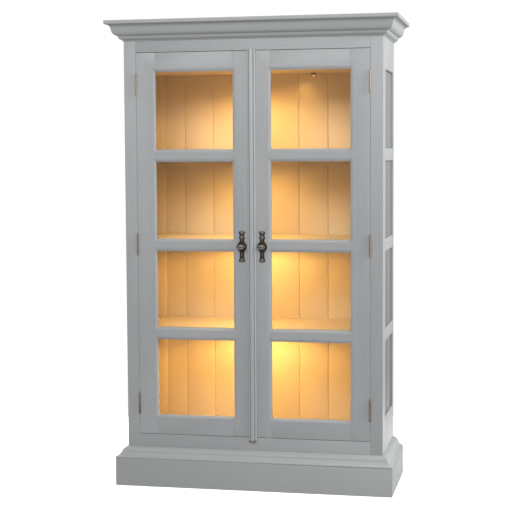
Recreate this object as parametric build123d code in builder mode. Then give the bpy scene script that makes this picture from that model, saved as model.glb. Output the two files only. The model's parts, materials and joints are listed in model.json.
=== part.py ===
"""Curio cabinet: a painted, two-door glazed display cabinet with a cornice and a plinth.

The frame stands on its base at z = 0, with +X to the cabinet's right as seen from the front,
the doors facing -Y and +Z up. The origin is the centre of the whole footprint. All sizes are
in millimetres.
"""

import os

from build123d import *

os.makedirs("parts", exist_ok=True)

# ---------------------------------------------------------------- driving dimensions
HEIGHT = 2100.0
CARCASS_WIDTH = 1168.0
CARCASS_DEPTH = 437.0
CORNICE_OVERHANG = 71.0
CORNICE_HEIGHT = 89.0
PLINTH_OVERHANG = 47.0
PLINTH_BOARD_TOP = 126.0
PLINTH_TOP = 174.0
PLINTH_BOARD = 22.0

DOOR_LINE = 527.0          # half width from hinge axis to hinge axis
DOOR_BOTTOM = 235.0
DOOR_TOP = 1958.0
DOOR_THICKNESS = 22.0
DOOR_SWING_GAP = 1.2       # door edge and frame edge each stand this far from the hinge axis
DOOR_END_GAP = 2.0         # gap over and under the doors
DOOR_SEAM = -18.0          # x of the seam between the doors, under the left edge of the strip
DOOR_SEAM_GAP = 2.0
FRAME_THICKNESS = 22.5     # rails of the face frame, half a millimetre deeper than the doors

PANE_INNER = 86.0          # sight size of a pane, from the centre line
PANE_OUTER = 440.0
PANE_LEVELS = [(323.5, 668.5), (724.5, 1069.5), (1125.5, 1470.5), (1526.5, 1871.5)]
REBATE_WIDTH = 10.0
REBATE_DEPTH = 12.5
GLASS_THICKNESS = 4.0
GLASS_EDGE_GAP = 1.0
STICKING_QUIRK = 1.5       # small step where the moulded edge of a pane begins
STICKING_BEVEL = 9.0       # width of the sloping part of the moulded edge
STICKING_DEPTH = 7.0

FRONT_POST_DEPTH = 86.0
REAR_POST = 72.0
REAR_POST_DEPTH = 34.0
SIDE_RAIL = 11.0           # side rails are planted on the side boards
SIDE_BOARD = 12.0
BACK_BOARD = 10.0
BOARD_PITCH = 138.6
BOARD_COUNT = 8
BOARD_GAP = 0.2            # seam between two boards
V_GROOVE = 3.0             # leg of each chamfer that makes the groove between two back boards
SIDE_GROOVE = 8.0          # the same for the two boards of each side
TONGUE_LENGTH = 3.7        # tongue along one edge of each back board
GROOVE_DEPTH = 4.2
TONGUE_THICKNESS = 3.0
TONGUE_PLAY = 0.4

SHELF = 22.0
PANEL = 18.0
CEILING_UNDERSIDE = 1880.0
CEILING = 16.0
SHELF_TOPS = [724.5, 1125.5, 1526.5]
SHELF_NAMES = ["shelf_lower", "shelf_middle", "shelf_upper"]
SHELF_SETBACK = 33.0       # shelf front edge behind the door face
POST_PLAY = 0.5            # gap round the posts in the shelves and boards
CLEAT = 16.0
SIDE_CLEAT_HEIGHT = 25.0
BACK_CLEAT_HEIGHT = 55.0
BACK_CLEAT = 20.0
BACK_CLEAT_HALF = 505.0
WALL_HOLE_R = 3.0
WALL_HOLE_SPACING = 800.0

HINGE_LEVELS = [329.0, 1055.0, 1770.0]
HINGE_HEIGHT = 91.0
HINGE_PROUD = 4.6          # hinge axis in front of the face frame
KNUCKLE_R = 4.3
KNUCKLES = 5
KNUCKLE_GAP = 0.4
PIN_R = 2.5
PIN_PLAY = 0.05
PIN_HEAD_R = 3.6
PIN_HEAD = 1.0
PIN_BALL_R = 2.8
PIN_BALL_RISE = 2.0
LEAF = 1.0
LEAF_DEPTH = 19.0
LEAF_CLEAR = 0.2           # each leaf stands this far from the hinge axis
SCREW_HEAD_R = 2.6
SCREW_SHANK_R = 1.4
SCREW_SHANK = 12.0
SCREW_TAPER = 20.0
SCREW_RISE = 28.0          # spacing of the three screws up a leaf

HANDLE_X = 46.0
HANDLE_Z = 1093.0
HANDLE_HEIGHT = 142.0
HANDLE_PLATE = 3.0
SPINDLE_R = 5.0
SPINDLE_PLAY = 0.05
PLATE_STEP = 1.2           # raised face of the back plate inside its rim
PLATE_MIDDLE_R = 22.5
PLATE_SHAFT = 21.0
FINIAL_HALF_WIDTH = 14.5
FINIAL_HEIGHT = 9.0
PLATE_COLLAR_HALF_WIDTH = 13.5
PLATE_COLLAR_HALF_HEIGHT = 7.5
COLLAR_RISE = 40.0         # collar on the back plate, over the spindle
KNOB_WIDTH = 40.0
KNOB_HEIGHT = 24.0
KNOB_REACH = 34.0          # knob front in front of the door face
KNOB_DEPTH = 16.0
COLLAR_R = 8.5
COLLAR = 6.0
COLLAR_PLAY = 0.3
LATCH_LENGTH = 27.0        # latch tongue from the spindle axis to its tip
LATCH_WIDTH = 8.0
LATCH_PLATE = 3.0
LATCH_SETBACK = 28.0       # latch tongue front behind the door face

STRIP_WIDTH = 36.0
STRIP_PROUD = 11.0
STRIP_OVER_TOP = 10.0
STRIP_UNDER = 20.0
STRIP_RELIEF = 0.4         # strip back clears the face frame by this much

# ---------------------------------------------------------------- worked-out positions
HALF_WIDTH = CARCASS_WIDTH / 2
BACK = (CARCASS_DEPTH + CORNICE_OVERHANG) / 2
FRONT = BACK - CARCASS_DEPTH
OPENING = DOOR_LINE + DOOR_SWING_GAP
OPENING_BOTTOM = DOOR_BOTTOM - DOOR_END_GAP
OPENING_TOP = DOOR_TOP + DOOR_END_GAP
FRAME_BACK = FRONT + FRAME_THICKNESS
DOOR_BACK = FRONT + DOOR_THICKNESS
HINGE_Y = FRONT - HINGE_PROUD
POST_BACK = FRONT + FRONT_POST_DEPTH
REAR_POST_FRONT = BACK - REAR_POST_DEPTH
REAR_POST_INNER = HALF_WIDTH - REAR_POST
BOARD_FACE = BACK - BACK_BOARD
BOARDS_HALF = BOARD_PITCH * BOARD_COUNT / 2
SIDE_BOARD_OUT = HALF_WIDTH - SIDE_RAIL
SIDE_BOARD_IN = SIDE_BOARD_OUT - SIDE_BOARD
TOP_BOARD_UNDER = HEIGHT - PANEL
SUB_BASE_BOTTOM = PLINTH_BOARD_TOP - PANEL
SUB_BASE_OUT = PLINTH_OVERHANG - PLINTH_BOARD
SHELF_FRONT = FRONT + SHELF_SETBACK
STOP_RAIL = 18.0
STOP_BACK = FRAME_BACK + STOP_RAIL


# ---------------------------------------------------------------- shared shapes
def slab(x_span, y_span, z_span, mode=Mode.ADD):
    """Add or cut a rectangular block that fills the three spans."""
    spans = (x_span, y_span, z_span)
    centre = tuple((span[0] + span[1]) / 2 for span in spans)
    with Locations(centre):
        Box(*(abs(span[1] - span[0]) for span in spans), mode=mode)


def upright(y):
    """Return the upright plane at a depth, facing the front: its x is +X and its y is +Z."""
    return Plane.XZ.offset(-y)


def save(builder, label):
    """Label a finished piece and write its STEP file."""
    builder.part.label = label
    export_step(builder.part, f"parts/{label}.step")


def side_name(side):
    """Return the word for a side: 1 is right and -1 is left."""
    return "right" if side > 0 else "left"


def notched_panel(z_span, y_front):
    """Add a panel that fills the carcass between the side boards, cut round the four posts."""
    slab((-SIDE_BOARD_IN, SIDE_BOARD_IN), (y_front, BOARD_FACE), z_span)
    for side in (-1, 1):
        outer = side * HALF_WIDTH
        front_post = (side * (OPENING - POST_PLAY), outer)
        rear_post = (side * (REAR_POST_INNER - POST_PLAY), outer)
        slab(front_post, (FRONT, POST_BACK + POST_PLAY), z_span, Mode.SUBTRACT)
        slab(rear_post, (REAR_POST_FRONT - POST_PLAY, BACK), z_span, Mode.SUBTRACT)


KNUCKLE_HEIGHT = HINGE_HEIGHT / KNUCKLES
KNUCKLE_BITE = 0.9         # a leaf runs this far into its knuckle
LEAF_BACK = FRONT + LEAF_DEPTH
SCREW_Y = FRONT + 12.0


def knuckle_level(base, index):
    """Return a knuckle's lower and upper height, with a small gap at each end."""
    low = base + index * KNUCKLE_HEIGHT
    return low + KNUCKLE_GAP / 2, low + KNUCKLE_HEIGHT - KNUCKLE_GAP / 2


def hinge_half(axis_x, direction, first, bore_r):
    """Add the three hinge halves of one side of a door, with every other knuckle.

    direction is the way from the hinge axis to the leaf along X, and first is the lowest knuckle.
    """
    near = axis_x + direction * LEAF_CLEAR
    far = near + direction * LEAF
    for base in HINGE_LEVELS:
        slab((near, far), (FRONT + LEAF_CLEAR, LEAF_BACK), (base, base + HINGE_HEIGHT))
        for index in range(first, KNUCKLES, 2):
            low, high = knuckle_level(base, index)
            with Locations((axis_x, HINGE_Y, (low + high) / 2)):
                Cylinder(KNUCKLE_R, high - low)
            slab((near, far), (HINGE_Y + KNUCKLE_R - KNUCKLE_BITE, FRONT + LEAF_CLEAR), (low, high))
    for base in HINGE_LEVELS:
        with Locations((axis_x, HINGE_Y, base + HINGE_HEIGHT / 2)):
            Cylinder(bore_r, HINGE_HEIGHT, mode=Mode.SUBTRACT)


def screw_heights():
    """Return the height of every leaf screw on one side of a door."""
    return [base + HINGE_HEIGHT / 2 + step * SCREW_RISE for base in HINGE_LEVELS for step in (-1, 0, 1)]


def leaf_screws(axis_x, direction, mode=Mode.ADD):
    """Add or cut the leaf screws, driven away from the hinge axis along X."""
    face = axis_x + direction * LEAF_CLEAR
    for height in screw_heights():
        entry = Plane(origin=(face, SCREW_Y, height), x_dir=(0, 1, 0), z_dir=(direction, 0, 0))
        with BuildSketch(entry) as head:
            Circle(SCREW_HEAD_R)
        with BuildSketch(entry) as shank:
            Circle(SCREW_SHANK_R)
        extrude(head.sketch, amount=LEAF, taper=SCREW_TAPER, mode=mode)
        extrude(shank.sketch, amount=LEAF + SCREW_SHANK, mode=mode)


# ---------------------------------------------------------------- posts
POST_EDGE = 1.2

for side in (-1, 1):
    with BuildPart() as front_post:
        slab((side * OPENING, side * HALF_WIDTH), (FRONT, POST_BACK), (PLINTH_BOARD_TOP, TOP_BOARD_UNDER))
        fillet(front_post.edges().filter_by(Axis.Z).group_by(Axis.Y)[0], POST_EDGE)
        leaf_screws(side * DOOR_LINE, side, Mode.SUBTRACT)
    save(front_post, f"front_post_{side_name(side)}")

    with BuildPart() as rear_post:
        slab((side * REAR_POST_INNER, side * HALF_WIDTH), (REAR_POST_FRONT, BACK),
             (PLINTH_BOARD_TOP, TOP_BOARD_UNDER))
        slab((side * REAR_POST_INNER, side * BOARDS_HALF), (BOARD_FACE, BACK),
             (PLINTH_BOARD_TOP, TOP_BOARD_UNDER), Mode.SUBTRACT)
    save(rear_post, f"rear_post_{side_name(side)}")


# ---------------------------------------------------------------- boarded sides
RAIL_EDGE = 3.0
BAR_LEVELS = [(lower[1], upper[0]) for lower, upper in zip(PANE_LEVELS, PANE_LEVELS[1:])]
SIDE_BOTTOM_RAIL = (PLINTH_BOARD_TOP, PANE_LEVELS[0][0])
SIDE_TOP_RAIL = (PANE_LEVELS[-1][1], TOP_BOARD_UNDER)
SIDE_RAIL_LEVELS = [SIDE_BOTTOM_RAIL, *BAR_LEVELS, SIDE_TOP_RAIL]

for side in (-1, 1):
    with BuildPart() as side_rails:
        for level in SIDE_RAIL_LEVELS:
            slab((side * SIDE_BOARD_OUT, side * HALF_WIDTH), (POST_BACK, REAR_POST_FRONT), level)
        rail_faces = side_rails.faces().filter_by(Axis.X).sort_by(Axis.X)
        outer_faces = rail_faces[-len(SIDE_RAIL_LEVELS):] if side > 0 else rail_faces[:len(SIDE_RAIL_LEVELS)]
        chamfer(outer_faces.edges().filter_by(Axis.Y), RAIL_EDGE)
    save(side_rails, f"side_rails_{side_name(side)}")

    board_width = (REAR_POST_FRONT - POST_BACK) / 2
    with BuildPart() as side_boards:
        for start in (POST_BACK, POST_BACK + board_width):
            low_edge = start + BOARD_GAP / 2
            high_edge = start + board_width - BOARD_GAP / 2
            with BuildSketch(Plane.XY.offset(PLINTH_BOARD_TOP)):
                with BuildLine():
                    Polyline(
                        (side * SIDE_BOARD_IN, low_edge),
                        (side * (SIDE_BOARD_OUT - SIDE_GROOVE), low_edge),
                        (side * SIDE_BOARD_OUT, low_edge + SIDE_GROOVE),
                        (side * SIDE_BOARD_OUT, high_edge - SIDE_GROOVE),
                        (side * (SIDE_BOARD_OUT - SIDE_GROOVE), high_edge),
                        (side * SIDE_BOARD_IN, high_edge),
                        close=True,
                    )
                make_face()
            extrude(amount=TOP_BOARD_UNDER - PLINTH_BOARD_TOP)
    save(side_boards, f"side_boards_{side_name(side)}")


# ---------------------------------------------------------------- face frame rails
with BuildPart() as frieze_rail:
    slab((-OPENING, OPENING), (FRONT, FRAME_BACK), (OPENING_TOP, TOP_BOARD_UNDER))
    fillet(frieze_rail.edges().filter_by(Axis.X).sort_by(Axis.Z)[:2].sort_by(Axis.Y)[0], POST_EDGE)
save(frieze_rail, "frieze_rail")

with BuildPart() as base_rail:
    slab((-OPENING, OPENING), (FRONT, FRAME_BACK), (PLINTH_BOARD_TOP, OPENING_BOTTOM))
    fillet(base_rail.edges().filter_by(Axis.X).sort_by(Axis.Z)[-2:].sort_by(Axis.Y)[0], POST_EDGE)
save(base_rail, "base_rail")

with BuildPart() as door_stop_rail:
    slab((-OPENING, OPENING), (FRAME_BACK, STOP_BACK), (CEILING_UNDERSIDE, TOP_BOARD_UNDER))
save(door_stop_rail, "door_stop_rail")


# ---------------------------------------------------------------- boarded back
GROMMET_X = 400.0
GROMMET_Z = 1990.0
GROMMET_R = 11.0
GROMMET_BORE_R = 6.0
GROMMET_FLANGE_R = 15.0
GROMMET_FLANGE = 2.0
HANGING_Z = SHELF_TOPS[-1] - SHELF - BACK_CLEAT_HEIGHT / 2

with BuildPart() as back_boards:
    for index in range(BOARD_COUNT):
        left = -BOARDS_HALF + index * BOARD_PITCH + BOARD_GAP / 2
        right = left + BOARD_PITCH - BOARD_GAP
        with BuildSketch(Plane.XY.offset(PLINTH_BOARD_TOP)):
            with BuildLine():
                Polyline(
                    (left, BACK),
                    (left, BOARD_FACE + V_GROOVE),
                    (left + V_GROOVE, BOARD_FACE),
                    (right - V_GROOVE, BOARD_FACE),
                    (right, BOARD_FACE + V_GROOVE),
                    (right, BACK),
                    close=True,
                )
            make_face()
            tongue_y = BACK - V_GROOVE - TONGUE_THICKNESS / 2
            if index < BOARD_COUNT - 1:
                with Locations((right, tongue_y)):
                    Rectangle(2 * TONGUE_LENGTH, TONGUE_THICKNESS - TONGUE_PLAY)
            if index > 0:
                with Locations((left, tongue_y)):
                    Rectangle(2 * GROOVE_DEPTH, TONGUE_THICKNESS, mode=Mode.SUBTRACT)
        extrude(amount=TOP_BOARD_UNDER - PLINTH_BOARD_TOP)
    with BuildSketch(upright(BOARD_FACE)):
        with Locations((GROMMET_X, GROMMET_Z)):
            Circle(GROMMET_R)
        with Locations((-WALL_HOLE_SPACING / 2, HANGING_Z), (WALL_HOLE_SPACING / 2, HANGING_Z)):
            Circle(WALL_HOLE_R)
    extrude(amount=-BACK_BOARD, mode=Mode.SUBTRACT)
save(back_boards, "back_boards")

with BuildPart() as cable_grommet:
    with BuildSketch(upright(BOARD_FACE - GROMMET_FLANGE)):
        with Locations((GROMMET_X, GROMMET_Z)):
            Circle(GROMMET_FLANGE_R)
    extrude(amount=-GROMMET_FLANGE)
    with BuildSketch(upright(BOARD_FACE)):
        with Locations((GROMMET_X, GROMMET_Z)):
            Circle(GROMMET_R)
    extrude(amount=-BACK_BOARD)
    with BuildSketch(upright(BOARD_FACE - GROMMET_FLANGE)):
        with Locations((GROMMET_X, GROMMET_Z)):
            Circle(GROMMET_BORE_R)
    extrude(amount=-(GROMMET_FLANGE + BACK_BOARD), mode=Mode.SUBTRACT)
save(cable_grommet, "cable_grommet")


# ---------------------------------------------------------------- top, ceiling, floor and base
with BuildPart() as top_board:
    slab((-HALF_WIDTH, HALF_WIDTH), (FRONT, BACK), (TOP_BOARD_UNDER, HEIGHT))
save(top_board, "top_board")

with BuildPart() as ceiling_board:
    notched_panel((CEILING_UNDERSIDE, CEILING_UNDERSIDE + CEILING), STOP_BACK)
save(ceiling_board, "ceiling_board")

with BuildPart() as floor_board:
    notched_panel((OPENING_BOTTOM - PANEL, OPENING_BOTTOM), FRAME_BACK)
save(floor_board, "floor_board")

with BuildPart() as sub_base:
    slab((-HALF_WIDTH - SUB_BASE_OUT, HALF_WIDTH + SUB_BASE_OUT), (FRONT - SUB_BASE_OUT, BACK),
         (SUB_BASE_BOTTOM, PLINTH_BOARD_TOP))
save(sub_base, "sub_base")


# ---------------------------------------------------------------- shelves and cleats
SHELF_EDGE = 2.0

for name, top in zip(SHELF_NAMES, SHELF_TOPS):
    with BuildPart() as shelf:
        notched_panel((top - SHELF, top), SHELF_FRONT)
        fillet(shelf.edges().filter_by(Axis.X).group_by(Axis.Y)[0], SHELF_EDGE)
    save(shelf, name)

CLEAT_FRONT = POST_BACK + 10.0
CLEAT_BACK = REAR_POST_FRONT - 10.0

with BuildPart() as shelf_cleats:
    for top in SHELF_TOPS:
        under = top - SHELF
        for side in (-1, 1):
            slab((side * (SIDE_BOARD_IN - CLEAT), side * SIDE_BOARD_IN), (CLEAT_FRONT, CLEAT_BACK),
                 (under - SIDE_CLEAT_HEIGHT, under))
        slab((-BACK_CLEAT_HALF, BACK_CLEAT_HALF), (BOARD_FACE - BACK_CLEAT, BOARD_FACE),
             (under - BACK_CLEAT_HEIGHT, under))
    with BuildSketch(upright(BOARD_FACE - BACK_CLEAT)):
        with Locations((-WALL_HOLE_SPACING / 2, HANGING_Z), (WALL_HOLE_SPACING / 2, HANGING_Z)):
            Circle(WALL_HOLE_R)
    extrude(amount=-BACK_CLEAT, mode=Mode.SUBTRACT)
save(shelf_cleats, "shelf_cleats")


# ---------------------------------------------------------------- lights
LAMP_R = 11.0
LAMP_DROP = 13.0
LAMP_BEZEL_R = 13.0
LAMP_BEZEL = 2.0
LENS_R = 9.0
LENS = 3.0
LAMP_Y = -50.0
EDGE_LAMP = (217.0, 197.0)
LAMP_SPOTS = [(0.0, LAMP_Y, top - SHELF) for top in SHELF_TOPS]
LAMP_SPOTS += [(0.0, LAMP_Y, CEILING_UNDERSIDE), (*EDGE_LAMP, CEILING_UNDERSIDE)]

with BuildPart() as spot_lamps:
    for x, y, under in LAMP_SPOTS:
        with BuildSketch(Plane.XY.offset(under)):
            with Locations((x, y)):
                Circle(LAMP_BEZEL_R)
        extrude(amount=-LAMP_BEZEL)
        with BuildSketch(Plane.XY.offset(under - LAMP_BEZEL)):
            with Locations((x, y)):
                Circle(LAMP_R)
        extrude(amount=LAMP_BEZEL - LAMP_DROP)
        with BuildSketch(Plane.XY.offset(under - LAMP_DROP)):
            with Locations((x, y)):
                Circle(LENS_R)
        extrude(amount=LENS, mode=Mode.SUBTRACT)
save(spot_lamps, "spot_lamps")

with BuildPart() as lamp_lenses:
    for x, y, under in LAMP_SPOTS:
        with BuildSketch(Plane.XY.offset(under - LAMP_DROP)):
            with Locations((x, y)):
                Circle(LENS_R)
        extrude(amount=LENS)
save(lamp_lenses, "lamp_lenses")

DRIVER_CENTRE = (300.0, 150.0)
DRIVER_SIZE = (120.0, 45.0, 28.0)
DRIVER_EDGE = 3.0

with BuildPart() as light_driver:
    with BuildSketch(Plane.XY.offset(CEILING_UNDERSIDE + CEILING)):
        with Locations(DRIVER_CENTRE):
            RectangleRounded(DRIVER_SIZE[0], DRIVER_SIZE[1], DRIVER_EDGE)
    extrude(amount=DRIVER_SIZE[2])
    fillet(light_driver.faces().sort_by(Axis.Z)[-1].edges(), DRIVER_EDGE / 2)
save(light_driver, "light_driver")


# ---------------------------------------------------------------- cornice and plinth
def run_plane(side, z):
    """Return a moulding's section plane: x runs out of the carcass and y runs up."""
    if side == 0:
        return Plane(origin=(0, FRONT, z), x_dir=(0, -1, 0), z_dir=(-1, 0, 0))
    return Plane(origin=(side * HALF_WIDTH, 0, z), x_dir=(side, 0, 0), z_dir=(0, -side, 0))


def mitre_plane(side):
    """Return the upright plane of a front corner's mitre, facing away from the front run."""
    return Plane(origin=(side * HALF_WIDTH, FRONT, 0), z_dir=(side, 1, 0))


def cornice_section(side):
    """Return the crown moulding's section: fascia, cavetto, ovolo, fillet and small ovolo."""
    with BuildSketch(run_plane(side, HEIGHT)) as section:
        with BuildLine():
            Polyline((0, -CORNICE_HEIGHT), (0, 0), (CORNICE_OVERHANG, 0), (CORNICE_OVERHANG, -13))
            ThreePointArc((CORNICE_OVERHANG, -13), (70, -15.8), (67, -17))
            Line((67, -17), (62, -18))
            ThreePointArc((62, -18), (50.8, -24.5), (46, -36))
            Line((46, -36), (42.5, -50))
            ThreePointArc((42.5, -50), (37.5, -58), (27, -65))
            Polyline((27, -65), (21.5, -67), (19, -75))
            ThreePointArc((19, -75), (13, -81), (4, -85))
            Polyline((4, -85), (3, -CORNICE_HEIGHT), (0, -CORNICE_HEIGHT))
        make_face()
    return section.sketch


def plinth_moulding_section(side):
    """Return the base moulding's section: bead, hollow and quarter round up to the carcass."""
    with BuildSketch(run_plane(side, PLINTH_BOARD_TOP)) as section:
        with BuildLine():
            Polyline((0, 0), (PLINTH_OVERHANG - 2, 0))
            ThreePointArc((PLINTH_OVERHANG - 2, 0), (PLINTH_OVERHANG, 4), (PLINTH_OVERHANG - 3, 8))
            Line((PLINTH_OVERHANG - 3, 8), (PLINTH_OVERHANG - 7, 9))
            ThreePointArc((PLINTH_OVERHANG - 7, 9), (32, 14), (27, 23))
            Line((27, 23), (24, 25))
            ThreePointArc((24, 25), (17, 39.5), (3, 46))
            Polyline((3, 46), (2, PLINTH_TOP - PLINTH_BOARD_TOP), (0, PLINTH_TOP - PLINTH_BOARD_TOP), (0, 0))
        make_face()
    return section.sketch


def plinth_board_section(side):
    """Return the flat plinth board's section, with an eased top edge."""
    with BuildSketch(run_plane(side, 0)) as section:
        with Locations((PLINTH_OVERHANG - PLINTH_BOARD / 2, PLINTH_BOARD_TOP / 2)):
            Rectangle(PLINTH_BOARD, PLINTH_BOARD_TOP)
    return section.sketch


RUN_LENGTH = CARCASS_WIDTH
TRIMS = [
    ("cornice", cornice_section),
    ("plinth_moulding", plinth_moulding_section),
    ("plinth_board", plinth_board_section),
]

for trim, section in TRIMS:
    with BuildPart() as front_run:
        extrude(section(0), amount=RUN_LENGTH, both=True)
        for side in (-1, 1):
            split(bisect_by=mitre_plane(side), keep=Keep.BOTTOM)
    save(front_run, f"{trim}_front")

    for side in (-1, 1):
        with BuildPart() as side_run:
            extrude(section(side), amount=RUN_LENGTH, both=True)
            split(bisect_by=mitre_plane(side), keep=Keep.TOP)
            split(bisect_by=Plane(origin=(0, BACK, 0), z_dir=(0, 1, 0)), keep=Keep.BOTTOM)
        save(side_run, f"{trim}_{side_name(side)}")


# ---------------------------------------------------------------- hinges
with BuildPart() as frame_leaves:
    for side in (-1, 1):
        hinge_half(side * DOOR_LINE, side, 0, PIN_R)
    for side in (-1, 1):
        leaf_screws(side * DOOR_LINE, side, Mode.SUBTRACT)
save(frame_leaves, "frame_leaves")

with BuildPart() as frame_leaf_screws:
    for side in (-1, 1):
        leaf_screws(side * DOOR_LINE, side)
save(frame_leaf_screws, "frame_leaf_screws")

with BuildPart() as hinge_pins:
    for side in (-1, 1):
        for base in HINGE_LEVELS:
            top = base + HINGE_HEIGHT
            with Locations((side * DOOR_LINE, HINGE_Y, (base + top) / 2)):
                Cylinder(PIN_R, HINGE_HEIGHT)
            with Locations((side * DOOR_LINE, HINGE_Y, top + PIN_HEAD / 2),
                           (side * DOOR_LINE, HINGE_Y, base - PIN_HEAD / 2)):
                Cylinder(PIN_HEAD_R, PIN_HEAD)
            with Locations((side * DOOR_LINE, HINGE_Y, top + PIN_HEAD + PIN_BALL_RISE),
                           (side * DOOR_LINE, HINGE_Y, base - PIN_HEAD - PIN_BALL_RISE)):
                Sphere(PIN_BALL_R)
save(hinge_pins, "hinge_pins")


# ---------------------------------------------------------------- doors
def pane_pocket(side, level):
    """Return the moulded recess of one pane: a thin step, then a slope to the sight edge."""
    step = STICKING_BEVEL + STICKING_QUIRK
    centre = (side * (PANE_INNER + PANE_OUTER) / 2, (level[0] + level[1]) / 2)
    width = PANE_OUTER - PANE_INNER
    height = level[1] - level[0]
    with BuildPart(mode=Mode.PRIVATE) as pocket:
        with BuildSketch(upright(FRONT)):
            with Locations(centre):
                Rectangle(width + 2 * step, height + 2 * step)
        extrude(amount=-STICKING_QUIRK)
        with BuildSketch(upright(FRONT + STICKING_QUIRK)):
            with Locations(centre):
                Rectangle(width + 2 * STICKING_BEVEL, height + 2 * STICKING_BEVEL)
        with BuildSketch(upright(FRONT + STICKING_DEPTH)):
            with Locations(centre):
                Rectangle(width, height)
        loft()
        with BuildSketch(upright(FRONT + STICKING_DEPTH)):
            with Locations(centre):
                Rectangle(width, height)
        extrude(amount=STICKING_DEPTH - DOOR_THICKNESS)
        with BuildSketch(upright(DOOR_BACK - REBATE_DEPTH)):
            with Locations(centre):
                Rectangle(width + 2 * REBATE_WIDTH, height + 2 * REBATE_WIDTH)
        extrude(amount=-REBATE_DEPTH)
    return pocket.part


def cut_panes(side):
    """Cut every pane's recess and rebate from the piece being built."""
    for level in PANE_LEVELS:
        add(pane_pocket(side, level), mode=Mode.SUBTRACT)


def handle_outline(centre_x, inset):
    """Return the back plate's outline, drawn in by the inset: finials, collar and round middle."""
    finial_rise = HANDLE_HEIGHT / 2 - FINIAL_HEIGHT
    with BuildSketch(upright(FRONT)) as outline:
        with Locations((centre_x, HANDLE_Z)):
            Circle(PLATE_MIDDLE_R - inset)
            Rectangle(PLATE_SHAFT - 2 * inset, 2 * finial_rise)
        with Locations((centre_x, HANDLE_Z + finial_rise), (centre_x, HANDLE_Z - finial_rise)):
            Ellipse(FINIAL_HALF_WIDTH - inset, FINIAL_HEIGHT - inset)
        with Locations((centre_x, HANDLE_Z + COLLAR_RISE)):
            Ellipse(PLATE_COLLAR_HALF_WIDTH - inset, PLATE_COLLAR_HALF_HEIGHT - inset)
    return outline.sketch


MEETING_EDGE = {1: DOOR_SEAM + DOOR_SEAM_GAP / 2, -1: DOOR_SEAM - DOOR_SEAM_GAP / 2}
DOOR_EDGE = DOOR_LINE - DOOR_SWING_GAP
EDGE_EASE = 0.8
STILE_JOINT = STICKING_BEVEL + STICKING_QUIRK
GLASS_FRONT = DOOR_BACK - REBATE_DEPTH
GLASS_BACK = GLASS_FRONT + GLASS_THICKNESS
BEAD_WIDTH = 9.0
LATCH_FRONT = FRONT + LATCH_SETBACK

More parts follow.
